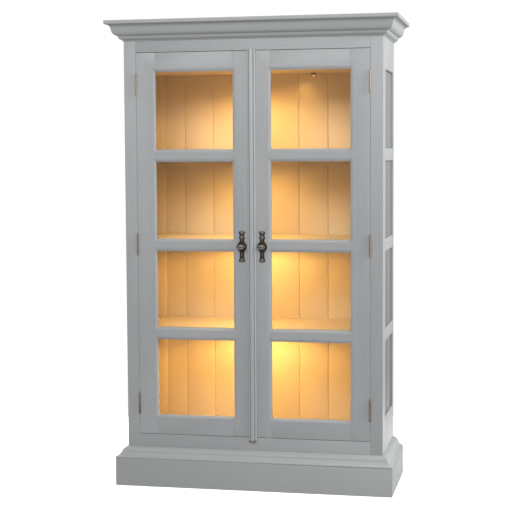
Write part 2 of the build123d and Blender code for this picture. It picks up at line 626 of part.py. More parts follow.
for side in (-1, 1):
    hand = side_name(side)
    door_span = (DOOR_BOTTOM, DOOR_TOP)
    rail_span = (side * (PANE_INNER - STILE_JOINT), side * (PANE_OUTER + STILE_JOINT))
    thick_span = (FRONT, DOOR_BACK)

    with BuildPart() as hinge_stile:
        slab((side * (PANE_OUTER + STILE_JOINT), side * DOOR_EDGE), thick_span, door_span)
        slab((side * PANE_OUTER, side * (PANE_OUTER + STILE_JOINT)), thick_span, door_span)
        cut_panes(side)
        fillet(hinge_stile.edges().filter_by(Axis.Z).filter_by(
            lambda edge: abs(abs(edge.center().X) - DOOR_EDGE) < LEAF
            and abs(edge.center().Y - FRONT) < LEAF), EDGE_EASE)
        for base in HINGE_LEVELS:
            slab((side * DOOR_EDGE, side * (DOOR_LINE - LEAF_CLEAR)), (FRONT, LEAF_BACK),
                 (base, base + HINGE_HEIGHT), Mode.SUBTRACT)
        leaf_screws(side * DOOR_LINE, -side, Mode.SUBTRACT)
    save(hinge_stile, f"{hand}_hinge_stile")

    with BuildPart() as meeting_stile:
        slab((MEETING_EDGE[side], side * PANE_INNER), thick_span, door_span)
        cut_panes(side)
        with Locations(Location((side * HANDLE_X, (FRONT + DOOR_BACK) / 2, HANDLE_Z), (90, 0, 0))):
            Cylinder(SPINDLE_R + SPINDLE_PLAY, 2 * DOOR_THICKNESS, mode=Mode.SUBTRACT)
    save(meeting_stile, f"{hand}_meeting_stile")

    with BuildPart() as door_rails:
        slab((side * PANE_INNER, side * PANE_OUTER), thick_span, (PANE_LEVELS[-1][1], DOOR_TOP))
        slab((side * PANE_INNER, side * PANE_OUTER), thick_span, (DOOR_BOTTOM, PANE_LEVELS[0][0]))
        cut_panes(side)
    save(door_rails, f"{hand}_door_rails")

    with BuildPart() as glazing_bars:
        for level in BAR_LEVELS:
            slab((side * PANE_INNER, side * PANE_OUTER), thick_span, level)
        cut_panes(side)
    save(glazing_bars, f"{hand}_glazing_bars")

    glass_edge = REBATE_WIDTH - GLASS_EDGE_GAP
    with BuildPart() as panes:
        for level in PANE_LEVELS:
            slab((side * (PANE_INNER - glass_edge), side * (PANE_OUTER + glass_edge)),
                 (GLASS_FRONT, GLASS_BACK), (level[0] - glass_edge, level[1] + glass_edge))
    save(panes, f"{hand}_panes")

    with BuildPart() as glazing_beads:
        for level in PANE_LEVELS:
            slab((side * (PANE_INNER - REBATE_WIDTH), side * (PANE_OUTER + REBATE_WIDTH)),
                 (GLASS_BACK, DOOR_BACK), (level[0] - REBATE_WIDTH, level[1] + REBATE_WIDTH))
            inset = REBATE_WIDTH - BEAD_WIDTH
            slab((side * (PANE_INNER - inset), side * (PANE_OUTER + inset)), (GLASS_BACK, DOOR_BACK),
                 (level[0] - inset, level[1] + inset), Mode.SUBTRACT)
    save(glazing_beads, f"{hand}_glazing_beads")

    with BuildPart() as handle_plate:
        extrude(handle_outline(side * HANDLE_X, 0), amount=HANDLE_PLATE - PLATE_STEP)
        extrude(handle_outline(side * HANDLE_X, PLATE_STEP), amount=HANDLE_PLATE)
        with Locations(Location((side * HANDLE_X, FRONT, HANDLE_Z), (90, 0, 0))):
            Cylinder(SPINDLE_R + SPINDLE_PLAY, 4 * HANDLE_PLATE, mode=Mode.SUBTRACT)
    save(handle_plate, f"{hand}_handle_plate")

    with BuildPart() as door_leaves:
        hinge_half(side * DOOR_LINE, -side, 1, PIN_R + PIN_PLAY)
        leaf_screws(side * DOOR_LINE, -side, Mode.SUBTRACT)
    save(door_leaves, f"{hand}_door_leaves")

    with BuildPart() as door_leaf_screws:
        leaf_screws(side * DOOR_LINE, -side)
    save(door_leaf_screws, f"{hand}_leaf_screws")

    collar_front = FRONT - HANDLE_PLATE - COLLAR_PLAY
    knob_front = FRONT - KNOB_REACH
    with BuildPart() as turn_knob:
        with BuildSketch(upright(collar_front)):
            with Locations((side * HANDLE_X, HANDLE_Z)):
                Circle(COLLAR_R)
        extrude(amount=COLLAR)
        with BuildSketch(upright(collar_front - COLLAR)):
            with Locations((side * HANDLE_X, HANDLE_Z)):
                Circle(SPINDLE_R + 1)
        extrude(amount=KNOB_REACH - KNOB_DEPTH / 2 - COLLAR - HANDLE_PLATE)
        with BuildSketch(upright(knob_front + KNOB_DEPTH)):
            with Locations((side * HANDLE_X, HANDLE_Z)):
                Ellipse(KNOB_WIDTH / 2, KNOB_HEIGHT / 2)
        extrude(amount=KNOB_DEPTH)
        knob_rims = turn_knob.edges().filter_by(GeomType.ELLIPSE)
        fillet(knob_rims, KNOB_DEPTH * 0.42)
        with BuildSketch(upright(collar_front)):
            with Locations((side * HANDLE_X, HANDLE_Z)):
                Circle(SPINDLE_R)
        extrude(amount=-(LATCH_FRONT - collar_front))
    save(turn_knob, f"{hand}_turn_knob")

    with BuildPart() as latch_tongue:
        tongue_x = (side * (HANDLE_X - LATCH_WIDTH), side * (HANDLE_X + LATCH_LENGTH))
        slab(tongue_x, (LATCH_FRONT, LATCH_FRONT + LATCH_PLATE),
             (HANDLE_Z - LATCH_WIDTH / 2, HANDLE_Z + LATCH_WIDTH / 2))
        with Locations(Location((side * HANDLE_X, LATCH_FRONT + LATCH_PLATE / 2, HANDLE_Z), (90, 0, 0))):
            Cylinder(LATCH_WIDTH, LATCH_PLATE)
    save(latch_tongue, f"{hand}_latch_tongue")


# ---------------------------------------------------------------- meeting strip
STRIP_CHEEK = 4.0          # straight sides of the strip, next to the door
STRIP_FLAT = 16.0          # width of the flatter middle
STRIP_QUIRK = 2.0

with BuildPart() as meeting_strip:
    with BuildSketch(Plane.XY.offset(DOOR_BOTTOM - STRIP_UNDER)):
        with BuildLine():
            half_flat = STRIP_FLAT / 2
            half_strip = STRIP_WIDTH / 2
            Polyline((-half_flat, FRONT - STRIP_PROUD), (half_flat, FRONT - STRIP_PROUD),
                     (half_flat, FRONT - STRIP_PROUD + STRIP_QUIRK))
            ThreePointArc((half_flat, FRONT - STRIP_PROUD + STRIP_QUIRK),
                          (half_strip - 2.2, FRONT - STRIP_PROUD + 3.6), (half_strip, FRONT - STRIP_CHEEK))
            Polyline((half_strip, FRONT - STRIP_CHEEK), (half_strip, FRONT), (-half_strip, FRONT),
                     (-half_strip, FRONT - STRIP_CHEEK))
            ThreePointArc((-half_strip, FRONT - STRIP_CHEEK), (-half_strip + 2.2, FRONT - STRIP_PROUD + 3.6),
                          (-half_flat, FRONT - STRIP_PROUD + STRIP_QUIRK))
            Line((-half_flat, FRONT - STRIP_PROUD + STRIP_QUIRK), (-half_flat, FRONT - STRIP_PROUD))
        make_face()
    extrude(amount=DOOR_TOP - DOOR_BOTTOM + STRIP_OVER_TOP + STRIP_UNDER)
    for level in ((DOOR_BOTTOM - STRIP_UNDER, DOOR_BOTTOM), (DOOR_TOP, DOOR_TOP + STRIP_OVER_TOP)):
        slab((-STRIP_WIDTH, STRIP_WIDTH), (FRONT - STRIP_RELIEF, FRONT), level, Mode.SUBTRACT)
save(meeting_strip, "meeting_strip")


# ---------------------------------------------------------------- latch keeps
KEEP_HALF_WIDTH = 12.0
KEEP_PLATE = 1.5
KEEP_GAP = 1.5             # clearance each side of the latch tongue
KEEP_LIP_BOTTOM = HANDLE_Z + 13.0
KEEP_TOP = HANDLE_Z + LATCH_LENGTH + 3.5

with BuildPart() as latch_keeps:
    for side in (-1, 1):
        keep_x = (side * HANDLE_X - KEEP_HALF_WIDTH, side * HANDLE_X + KEEP_HALF_WIDTH)
        pocket_front = LATCH_FRONT - KEEP_GAP
        slab(keep_x, (pocket_front - KEEP_PLATE, SHELF_FRONT), (KEEP_LIP_BOTTOM, KEEP_TOP))
        slab(keep_x, (pocket_front, SHELF_FRONT - KEEP_PLATE), (KEEP_LIP_BOTTOM, KEEP_TOP - KEEP_PLATE),
             Mode.SUBTRACT)
save(latch_keeps, "latch_keeps")
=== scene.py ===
"""A painted curio cabinet: its timber, mouldings, glass, bronze and brass, and its warm lamps.

Every size is in metres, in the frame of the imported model.
"""

from __future__ import annotations

import json
import logging
import math
from collections.abc import Callable, Iterator, Sequence
from contextlib import contextmanager
from dataclasses import dataclass, field
from enum import Enum
from typing import TypeAlias

import bmesh
import bpy
from mathutils import Matrix, Vector

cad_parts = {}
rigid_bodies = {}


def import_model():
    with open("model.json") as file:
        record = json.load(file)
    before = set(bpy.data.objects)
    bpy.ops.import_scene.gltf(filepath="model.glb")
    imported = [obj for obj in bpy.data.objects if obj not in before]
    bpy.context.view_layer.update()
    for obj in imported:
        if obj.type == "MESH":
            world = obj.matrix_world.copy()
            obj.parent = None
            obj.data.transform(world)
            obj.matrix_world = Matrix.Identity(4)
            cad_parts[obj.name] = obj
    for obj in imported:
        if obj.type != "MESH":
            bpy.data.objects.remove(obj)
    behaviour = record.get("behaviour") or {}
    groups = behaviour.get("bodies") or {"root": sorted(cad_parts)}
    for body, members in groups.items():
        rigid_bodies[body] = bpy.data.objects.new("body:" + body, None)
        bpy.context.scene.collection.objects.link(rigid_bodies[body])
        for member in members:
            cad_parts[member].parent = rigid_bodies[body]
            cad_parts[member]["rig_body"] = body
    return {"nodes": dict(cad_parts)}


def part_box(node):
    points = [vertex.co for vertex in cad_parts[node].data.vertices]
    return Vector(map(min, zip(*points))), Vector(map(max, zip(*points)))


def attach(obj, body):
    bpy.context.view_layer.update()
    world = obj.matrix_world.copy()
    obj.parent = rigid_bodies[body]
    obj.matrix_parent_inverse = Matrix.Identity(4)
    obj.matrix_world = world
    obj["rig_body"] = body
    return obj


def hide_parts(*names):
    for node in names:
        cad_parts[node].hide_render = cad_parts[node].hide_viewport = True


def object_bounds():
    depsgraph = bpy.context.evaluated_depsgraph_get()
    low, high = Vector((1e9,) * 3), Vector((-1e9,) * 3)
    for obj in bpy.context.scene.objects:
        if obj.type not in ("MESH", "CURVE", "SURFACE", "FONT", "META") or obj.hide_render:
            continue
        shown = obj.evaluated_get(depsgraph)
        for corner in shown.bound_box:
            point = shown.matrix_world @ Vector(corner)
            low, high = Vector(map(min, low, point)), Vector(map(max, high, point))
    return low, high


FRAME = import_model()
CAD_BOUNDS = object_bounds()
LOG = logging.getLogger("curio_cabinet")

Colour = tuple[float, float, float]
Point = tuple[float, float]
Place = tuple[float, float, float]
Band = tuple[float, float]
Number: TypeAlias = "Signal | float"

MM = 0.001
WHITE: Colour = (1.0, 1.0, 1.0)
NOISE_MEAN = 0.5


# ---------------------------------------------------------------- choices
class Hand(Enum):
    """A side of the cabinet, as seen from the front."""

    LEFT = -1
    RIGHT = 1

    @property
    def word(self) -> str:
        """The side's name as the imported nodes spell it."""
        return self.name.lower()


class Grain(Enum):
    """The way that brush strokes and timber grain run, as a stretch of the pattern."""

    UPRIGHT = (1.0, 1.0, 0.035)
    ACROSS = (0.035, 1.0, 1.0)
    DEEP = (1.0, 0.035, 1.0)


class Slot(Enum):
    """The record's material slots that the new pieces belong to."""

    GREY_PAINT = "grey_paint"
    INNER_PAINT = "inner_paint"
    BRONZE = "bronze"
    LAMP_METAL = "lamp_metal"
    LAMP_LENS = "lamp_lens"


class Facing(Enum):
    """Directions that a face can look in."""

    LEFT = (-1.0, 0.0, 0.0)
    RIGHT = (1.0, 0.0, 0.0)
    FRONT = (0.0, -1.0, 0.0)
    BACK = (0.0, 1.0, 0.0)
    UP = (0.0, 0.0, 1.0)
    DOWN = (0.0, 0.0, -1.0)


class Mark(Enum):
    """Marks that a mesh carries on some of its faces, for its material to read."""

    RUB = "rub"
    # Painted shade: marks the sloping faces of V grooves, which the paint multiplies darker.
    GRIME = "grime"


# ---------------------------------------------------------------- shader maths
class Signal:
    """One number in a shader, which Python's operators work on."""

    def __init__(self, sheet: ShaderSheet, socket: bpy.types.NodeSocket) -> None:
        """Wrap an output socket of a sheet's node."""
        self.sheet = sheet
        self.socket = socket

    def __add__(self, other: Number) -> Signal:
        """Add a number."""
        return self.sheet.maths("ADD", self, other)

    def __sub__(self, other: Number) -> Signal:
        """Take a number away."""
        return self.sheet.maths("SUBTRACT", self, other)

    def __rsub__(self, other: Number) -> Signal:
        """Take this from a number."""
        return self.sheet.maths("SUBTRACT", other, self)

    def __mul__(self, other: Number) -> Signal:
        """Multiply by a number."""
        return self.sheet.maths("MULTIPLY", self, other)

    __radd__ = __add__
    __rmul__ = __mul__

    def between(self, low: float, high: float) -> Signal:
        """Rise smoothly from 0 to 1 as the number goes from one end of a band to the other.

        Args:
            low: The number that gives 0.
            high: The number that gives 1.

        Returns:
            The new number.
        """
        spread = self.sheet.node(
            "ShaderNodeMapRange",
            {"interpolation_type": "SMOOTHSTEP"},
            {"Value": self, "From Min": low, "From Max": high},
        )
        return Signal(self.sheet, spread.outputs["Result"])


class ShaderSheet:
    """The node tree of one material or world, filled in with short calls."""

    def __init__(self, owner: bpy.types.Material | bpy.types.World) -> None:
        """Empty the node tree of a new material or world.

        Args:
            owner: The material or world.
        """
        owner.use_nodes = True
        self.owner = owner
        self.tree = owner.node_tree
        self.tree.nodes.clear()

    @classmethod
    def for_material(cls, name: str) -> ShaderSheet:
        """Return an empty sheet for a new material."""
        return cls(bpy.data.materials.new(name))

    def node(
        self,
        kind: str,
        settings: dict[str, object] | None = None,
        sockets: dict[str | int, object] | None = None,
    ) -> bpy.types.Node:
        """Add a node.

        Args:
            kind: The node's type.
            settings: Its settings, set first.
            sockets: A value or a link for each of its inputs, by name or number.

        Returns:
            The new node.
        """
        made = self.tree.nodes.new(kind)
        for name, value in (settings or {}).items():
            setattr(made, name, value)
        for name, value in (sockets or {}).items():
            self.feed(made.inputs[name], value)
        return made

    def feed(self, socket: bpy.types.NodeSocket, value: object) -> None:
        """Link an input to a signal or a socket, or set its value.

        Args:
            socket: The input.
            value: A Signal, an output socket, a number, or a colour of three numbers.
        """
        if isinstance(value, Signal):
            value = value.socket
        if isinstance(value, bpy.types.NodeSocket):
            self.tree.links.new(value, socket)
        elif socket.type == "RGBA":
            socket.default_value = (*value, 1.0)
        else:
            socket.default_value = value

    def maths(self, operation: str, first: Number, second: Number) -> Signal:
        """Work on two numbers with a Math node."""
        made = self.node("ShaderNodeMath", {"operation": operation}, {0: first, 1: second})
        return Signal(self, made.outputs[0])

    def blend(
        self, share: Number, first: object, second: object, how: str = "MIX"
    ) -> bpy.types.NodeSocket:
        """Mix two colours.

        Args:
            share: How much of the second colour shows, from 0 to 1.
            first: A colour or a colour socket.
            second: A colour or a colour socket.
            how: The Mix node's blend type.

        Returns:
            The mixed colour's socket.
        """
        # The Mix node's colours are its inputs 6 and 7, and the mixed one is its output 2.
        settings = {"data_type": "RGBA", "blend_type": how, "clamp_factor": True}
        return self.node("ShaderNodeMix", settings, {0: share, 6: first, 7: second}).outputs[2]

    def place(self, stretch: Place = (1.0, 1.0, 1.0)) -> bpy.types.NodeSocket:
        """Return the place on the piece, in metres, stretched along each axis."""
        where = self.node("ShaderNodeTexCoord").outputs["Object"]
        return self.node("ShaderNodeMapping", {}, {"Vector": where, "Scale": stretch}).outputs[0]

    def height(self) -> Signal:
        """Return the height above the floor."""
        where = self.node("ShaderNodeTexCoord").outputs["Object"]
        return Signal(self, self.node("ShaderNodeSeparateXYZ", {}, {0: where}).outputs["Z"])

    def noise(self, where: bpy.types.NodeSocket, scale: float, detail: float = 2.0) -> Signal:
        """Return a smooth random pattern from 0 to 1, of a scale in cells per metre."""
        sockets = {"Vector": where, "Scale": scale, "Detail": detail}
        return Signal(self, self.node("ShaderNodeTexNoise", {}, sockets).outputs["Fac"])

    def mark(self, mark: Mark) -> Signal:
        """Return a mark that the piece's mesh carries on its faces, 0 where it carries none."""
        made = self.node("ShaderNodeAttribute", {"attribute_name": mark.value})
        return Signal(self, made.outputs["Fac"])

    def relief(self, height: Signal, depth: float, strength: float) -> bpy.types.NodeSocket:
        """Return a normal that a height pattern tilts, for a relief of a depth in metres."""
        sockets = {"Height": height, "Distance": depth, "Strength": strength}
        return self.node("ShaderNodeBump", {}, sockets).outputs["Normal"]

    def surface(self, shader: bpy.types.NodeSocket) -> bpy.types.Material:
        """Make a shader the material's surface and return the material."""
        self.node("ShaderNodeOutputMaterial", {}, {"Surface": shader})
        return self.owner

    def principled(self, sockets: dict[str, object]) -> bpy.types.Material:
        """Finish the material with a Principled shader and return it."""
        return self.surface(self.node("ShaderNodeBsdfPrincipled", {}, sockets).outputs[0])


# ---------------------------------------------------------------- finishes
@dataclass(frozen=True)
class Finish:
    """A finish whose material is mixed once and shared by the pieces that wear it."""

    name: str

    def material(self) -> bpy.types.Material:
        """Return the finish's material."""
        found = bpy.data.materials.get(self.name)
        return found or self.mix(ShaderSheet.for_material(self.name))

    def mix(self, sheet: ShaderSheet) -> bpy.types.Material:
        """Fill in an empty sheet with the finish and return its material."""
        raise NotImplementedError


@dataclass(frozen=True)
class BrushedPaint:
    """Satin paint brushed over planed timber, with strokes that run with the grain.

    The scales are in cells per metre, and a band is where a pattern goes from none to all.
    """

    name: str
    warm: Colour
    cool: Colour
    shade: Colour
    undercoat: Colour
    bare: Colour = (0.12, 0.095, 0.07)
    # Painted shade: the colour that multiplies the marked groove faces darker.
    grime: Colour = (0.4, 0.41, 0.39)
    roughness: float = 0.48
    specular: float = 0.42
    streak: float = 1.0
    stroke_scale: float = 260.0
    hair_scale: float = 1100.0
    cloud_scale: float = 2.6
    blot_scale: float = 31.0
    stroke_share: float = 0.6
    cloud_share: float = 0.5
    tone_band: Band = (0.3, 0.8)
    hair_share: float = 0.4
    hair_band: Band = (0.46, 0.78)
    rub_share: float = 0.7
    rub_band: Band = (0.36, 0.6)
    scuff_share: float = 0.3
    scuff_band: Band = (0.66, 0.78)
    scuffed_stroke_band: Band = (0.5, 0.7)
    bare_below: float | None = None
    bare_edge: float = 0.008
    bare_rag: float = 0.012
    stroke_sheen: float = 0.18
    cloud_sheen: float = 0.12
    relief: float = 0.00011
    relief_strength: float = 0.8
    relief_mix: tuple[float, float, float] = (0.55, 0.3, 0.15)

    def material(self, grain: Grain) -> bpy.types.Material:
        """Return the paint brushed along a grain, made once for each.

        Args:
            grain: The way that the strokes run.

        Returns:
            The material.
        """
        title = f"{self.name}_{grain.name.lower()}"
        return bpy.data.materials.get(title) or self.mix(ShaderSheet.for_material(title), grain)

    def mix(self, sheet: ShaderSheet, grain: Grain) -> bpy.types.Material:
        """Fill in an empty sheet with the paint.

        Args:
            sheet: The empty sheet.
            grain: The way that the strokes run.

        Returns:
            The sheet's material.
        """
        along = sheet.place(grain.value)
        stroke = sheet.noise(along, self.stroke_scale, detail=4.0)
        hair = sheet.noise(along, self.hair_scale)
        cloud = sheet.noise(sheet.place(), self.cloud_scale, detail=3.0)
        blot = sheet.noise(sheet.place(), self.blot_scale, detail=4.0)
        plain = self.stroke_share / 2 * (1.0 - self.streak)
        tone = stroke * (self.stroke_share * self.streak) + cloud * self.cloud_share + plain
        colour = sheet.blend(tone.between(*self.tone_band), self.cool, self.warm)
        hairs = (1.0 - hair).between(*self.hair_band) * (self.hair_share * self.streak)
        colour = sheet.blend(hairs, colour, self.shade)
        rubbed = sheet.mark(Mark.RUB) * blot.between(*self.rub_band)
        colour = sheet.blend(rubbed * self.rub_share, colour, self.undercoat)
        scuff = blot.between(*self.scuff_band) * stroke.between(*self.scuffed_stroke_band)
        colour = sheet.blend(scuff * (self.scuff_share * self.streak), colour, self.shade)
        # Painted shade: the marked groove faces are multiplied darker, for the shade that falls in
        # the grooves.
        colour = sheet.blend(sheet.mark(Mark.GRIME), colour, self.grime, "MULTIPLY")
        if self.bare_below is not None:
            level = sheet.height() + blot * self.bare_rag
            worn = level.between(self.bare_below + self.bare_edge, self.bare_below)
            colour = sheet.blend(worn, colour, self.bare)
        sheen = self.roughness + (stroke - NOISE_MEAN) * self.stroke_sheen
        deep, fine, broad = self.relief_mix
        relief = stroke * deep + hair * fine + blot * broad
        return sheet.principled(
            {
                "Base Color": colour,
                "Roughness": sheen + (cloud - NOISE_MEAN) * self.cloud_sheen,
                "Normal": sheet.relief(relief, self.relief, self.relief_strength),
                "Specular IOR Level": self.specular,
            }
        )


@dataclass(frozen=True)
class CastMetal(Finish):
    """A metal casting with a patchy patina and a rubbed shine on its high places.

    Where a pale colour is given, it comes up over a band of heights above the floor.
    """

    patina: Colour
    metal: Colour
    high: Colour
    roughness: float = 0.42
    metallic: float = 0.85
    grain_scale: float = 420.0
    cloud_scale: float = 90.0
    relief: float = 0.00025
    relief_strength: float = 0.7
    patina_band: Band = (0.38, 0.62)
    patches: float = 0.7
    specks: float = 0.3
    patina_roughness: float = 0.2
    patina_cover: float = 0.35
    shine_least: float = 0.45
    shine_spread: float = 0.8
    shine_polish: float = 0.14
    pale: Colour | None = None
    pale_band: Band = (0.6, 1.7)
    pale_least: float = 0.55
    pale_spread: float = 0.4

    def mix(self, sheet: ShaderSheet) -> bpy.types.Material:
        """Fill in an empty sheet with the metal.

        Args:
            sheet: The empty sheet.

        Returns:
            The sheet's material.
        """
        where = sheet.place()
        cloud = sheet.noise(where, self.cloud_scale, detail=4.0)
        grain = sheet.noise(where, self.grain_scale, detail=3.0)
        clean = (cloud * self.patches + grain * self.specks).between(*self.patina_band)
        colour = sheet.blend(clean, self.patina, self.metal)
        if self.pale is not None:
            bloom = self.pale_least + cloud * self.pale_spread
            bloom = sheet.height().between(*self.pale_band) * bloom
            colour = sheet.blend(bloom, colour, self.pale)
        shine = sheet.mark(Mark.RUB) * (self.shine_least + grain * self.shine_spread)
        rough = self.roughness + (1.0 - clean) * self.patina_roughness - shine * self.shine_polish
        relief = cloud * 0.5 + grain * 0.5
        return sheet.principled(
            {
                "Base Color": sheet.blend(shine, colour, self.high),
                "Metallic": self.metallic - (1.0 - clean) * self.patina_cover,
                "Roughness": rough,
                "Normal": sheet.relief(relief, self.relief, self.relief_strength),
            }
        )


@dataclass(frozen=True)
class PaneGlass(Finish):
    """Clear float glass with a faint smeared film."""

    name: str = "pane_glass"
    tint: Colour = (0.975, 0.985, 0.98)
    ior: float = 1.45
    reflection: float = 0.8
    roughness: float = 0.03
    film: float = 0.008
    smear_scale: float = 14.0
    smear_stretch: Place = (1.0, 1.0, 0.5)

    def mix(self, sheet: ShaderSheet) -> bpy.types.Material:
        """Fill in an empty sheet with the glass.

        Args:
            sheet: The empty sheet.

        Returns:
            The sheet's material.
        """
        smear = sheet.noise(sheet.place(self.smear_stretch), self.smear_scale, detail=4.0)
        gloss = Signal(sheet, sheet.node("ShaderNodeFresnel", {}, {"IOR": self.ior}).outputs[0])
        clear = sheet.node("ShaderNodeBsdfTransparent", {}, {"Color": self.tint}).outputs[0]
        mirror = sheet.node("ShaderNodeBsdfGlossy", {}, {"Roughness": self.roughness}).outputs[0]
        share = gloss * self.reflection + smear * self.film
        mixed = sheet.node("ShaderNodeMixShader", {}, {0: share, 1: clear, 2: mirror}).outputs[0]
        return sheet.surface(mixed)


@dataclass(frozen=True)
class LampLens(Finish):
    """A frosted lens with a warm glow behind it."""

    name: str = "lamp_lens_glow"
    glass: Colour = (0.8, 0.74, 0.62)
    deep_glow: Colour = (1.0, 0.66, 0.3)
    pale_glow: Colour = (1.0, 0.8, 0.5)
    strength: float = 9.0
    frost_scale: float = 900.0
    frost_band: Band = (0.3, 0.7)
    roughness: float = 0.3
    roughness_spread: float = 0.2

    def mix(self, sheet: ShaderSheet) -> bpy.types.Material:
        """Fill in an empty sheet with the glowing lens.

        Args:
            sheet: The empty sheet.

        Returns:
            The sheet's material.
        """
        frost = sheet.noise(sheet.place(), self.frost_scale, detail=3.0)
        glow = sheet.blend(frost.between(*self.frost_band), self.deep_glow, self.pale_glow)
        return sheet.principled(
            {
                "Base Color": self.glass,
                "Roughness": self.roughness + frost * self.roughness_spread,
                "Emission Color": glow,
                "Emission Strength": self.strength,
            }
        )


@dataclass(frozen=True)
class MouldedPlastic(Finish):
    """Matt moulded plastic with a fine spark-eroded texture."""

    name: str = "moulded_black_plastic"
    colour: Colour = (0.022, 0.022, 0.024)
    worn: Colour = (0.05, 0.05, 0.052)
    worn_scale: float = 40.0
    worn_band: Band = (0.4, 0.7)
    worn_share: float = 0.5
    spark_scale: float = 1400.0
    roughness: float = 0.52
    roughness_spread: float = 0.2
    relief: float = 0.00012
    relief_strength: float = 0.6

    def mix(self, sheet: ShaderSheet) -> bpy.types.Material:
        """Fill in an empty sheet with the plastic.

        Args:
            sheet: The empty sheet.

        Returns:
            The sheet's material.
        """
        spark = sheet.noise(sheet.place(), self.spark_scale, detail=3.0)
        cloud = sheet.noise(sheet.place(), self.worn_scale, detail=3.0)
        worn = cloud.between(*self.worn_band) * self.worn_share
        return sheet.principled(
            {
                "Base Color": sheet.blend(worn, self.colour, self.worn),
                "Roughness": self.roughness + spark * self.roughness_spread,
                "Normal": sheet.relief(spark, self.relief, self.relief_strength),
            }
        )


GREY_PAINT = BrushedPaint(
    name="grey_paint",
    warm=(0.402, 0.408, 0.411),
    cool=(0.352, 0.364, 0.372),
    shade=(0.27, 0.275, 0.285),
    undercoat=(0.47, 0.465, 0.455),
)
# A copy of the grey paint with fainter strokes and a slightly greener tint, which are the paint's
# own, and a darker tone, which is painted shade on the crown, base and plinth mouldings.
SHADED_MOULDING_PAINT = BrushedPaint(
    name="moulding_paint",
    warm=(0.382, 0.39, 0.388),
    cool=(0.358, 0.368, 0.37),
    shade=(0.27, 0.28, 0.275),
    undercoat=(0.43, 0.43, 0.415),
    streak=0.4,
)
# Painted shade: a darker copy of the grey paint for the recessed side boards and the plinth's side
# runs, standing in for the shade that falls on them.
SHADED_BOARD_PAINT = BrushedPaint(
    name="side_board_paint",
    warm=(0.238, 0.242, 0.243),
    cool=(0.206, 0.213, 0.216),
    shade=(0.2, 0.205, 0.212),
    undercoat=(0.37, 0.365, 0.355),
    streak=0.7,
)
# Painted light: a lighter copy of the grey paint for the raised meeting strip, standing in for the
# light that it catches; the bare wood below 0.222 m is wear.
LIT_STRIP_PAINT = BrushedPaint(
    name="strip_paint",
    warm=(0.44, 0.446, 0.449),
    cool=(0.392, 0.404, 0.412),
    shade=(0.3, 0.305, 0.315),
    undercoat=(0.52, 0.51, 0.5),
    streak=0.6,
    bare_below=0.222,
)
CREAM_PAINT = BrushedPaint(
    name="cream_paint",
    warm=(0.64, 0.545, 0.385),
    cool=(0.62, 0.522, 0.365),
    shade=(0.55, 0.455, 0.33),
    undercoat=(0.68, 0.6, 0.47),
    roughness=0.6,
    streak=0.55,
    cloud_scale=1.6,
)
BRONZE = CastMetal(
    name="antique_bronze",
    patina=(0.02, 0.017, 0.014),
    metal=(0.06, 0.05, 0.041),
    high=(0.19, 0.165, 0.135),
)
BRASS = CastMetal(
    name="aged_hinge_brass",
    patina=(0.11, 0.088, 0.066),
    metal=(0.27, 0.225, 0.17),
    high=(0.46, 0.41, 0.34),
    metallic=0.7,
    pale=(0.4, 0.35, 0.27),
    roughness=0.36,
    cloud_scale=60.0,
    grain_scale=700.0,
    relief=0.0001,
)
STEEL = CastMetal(
    name="plain_steel",
    patina=(0.2, 0.19, 0.18),
    metal=(0.5, 0.49, 0.47),
    high=(0.62, 0.61, 0.6),
    roughness=0.3,
    metallic=0.95,
    relief=0.00006,
)
LAMP_METAL = CastMetal(
    name="satin_lamp_metal",
    patina=(0.2, 0.18, 0.15),
    metal=(0.3, 0.27, 0.23),
    high=(0.42, 0.39, 0.34),
    roughness=0.36,
    metallic=0.95,
    cloud_scale=140.0,
    relief=0.00004,
)


# ---------------------------------------------------------------- the bench
def clear_selection() -> None:
    """Leave nothing selected and nothing active."""
    bpy.ops.object.select_all(action="DESELECT")
    bpy.context.view_layer.objects.active = None


@dataclass(frozen=True)
class Ring:
    """One ring of a turned or cast shape: its place along the axis and its two radii."""

    along: float
    wide: float
    deep: float


def rings(*rows: tuple[float, float, float]) -> list[Ring]:
    """Return rings from rows of millimetres: place, wide radius and deep radius."""
    return [Ring(*(number * MM for number in row)) for row in rows]


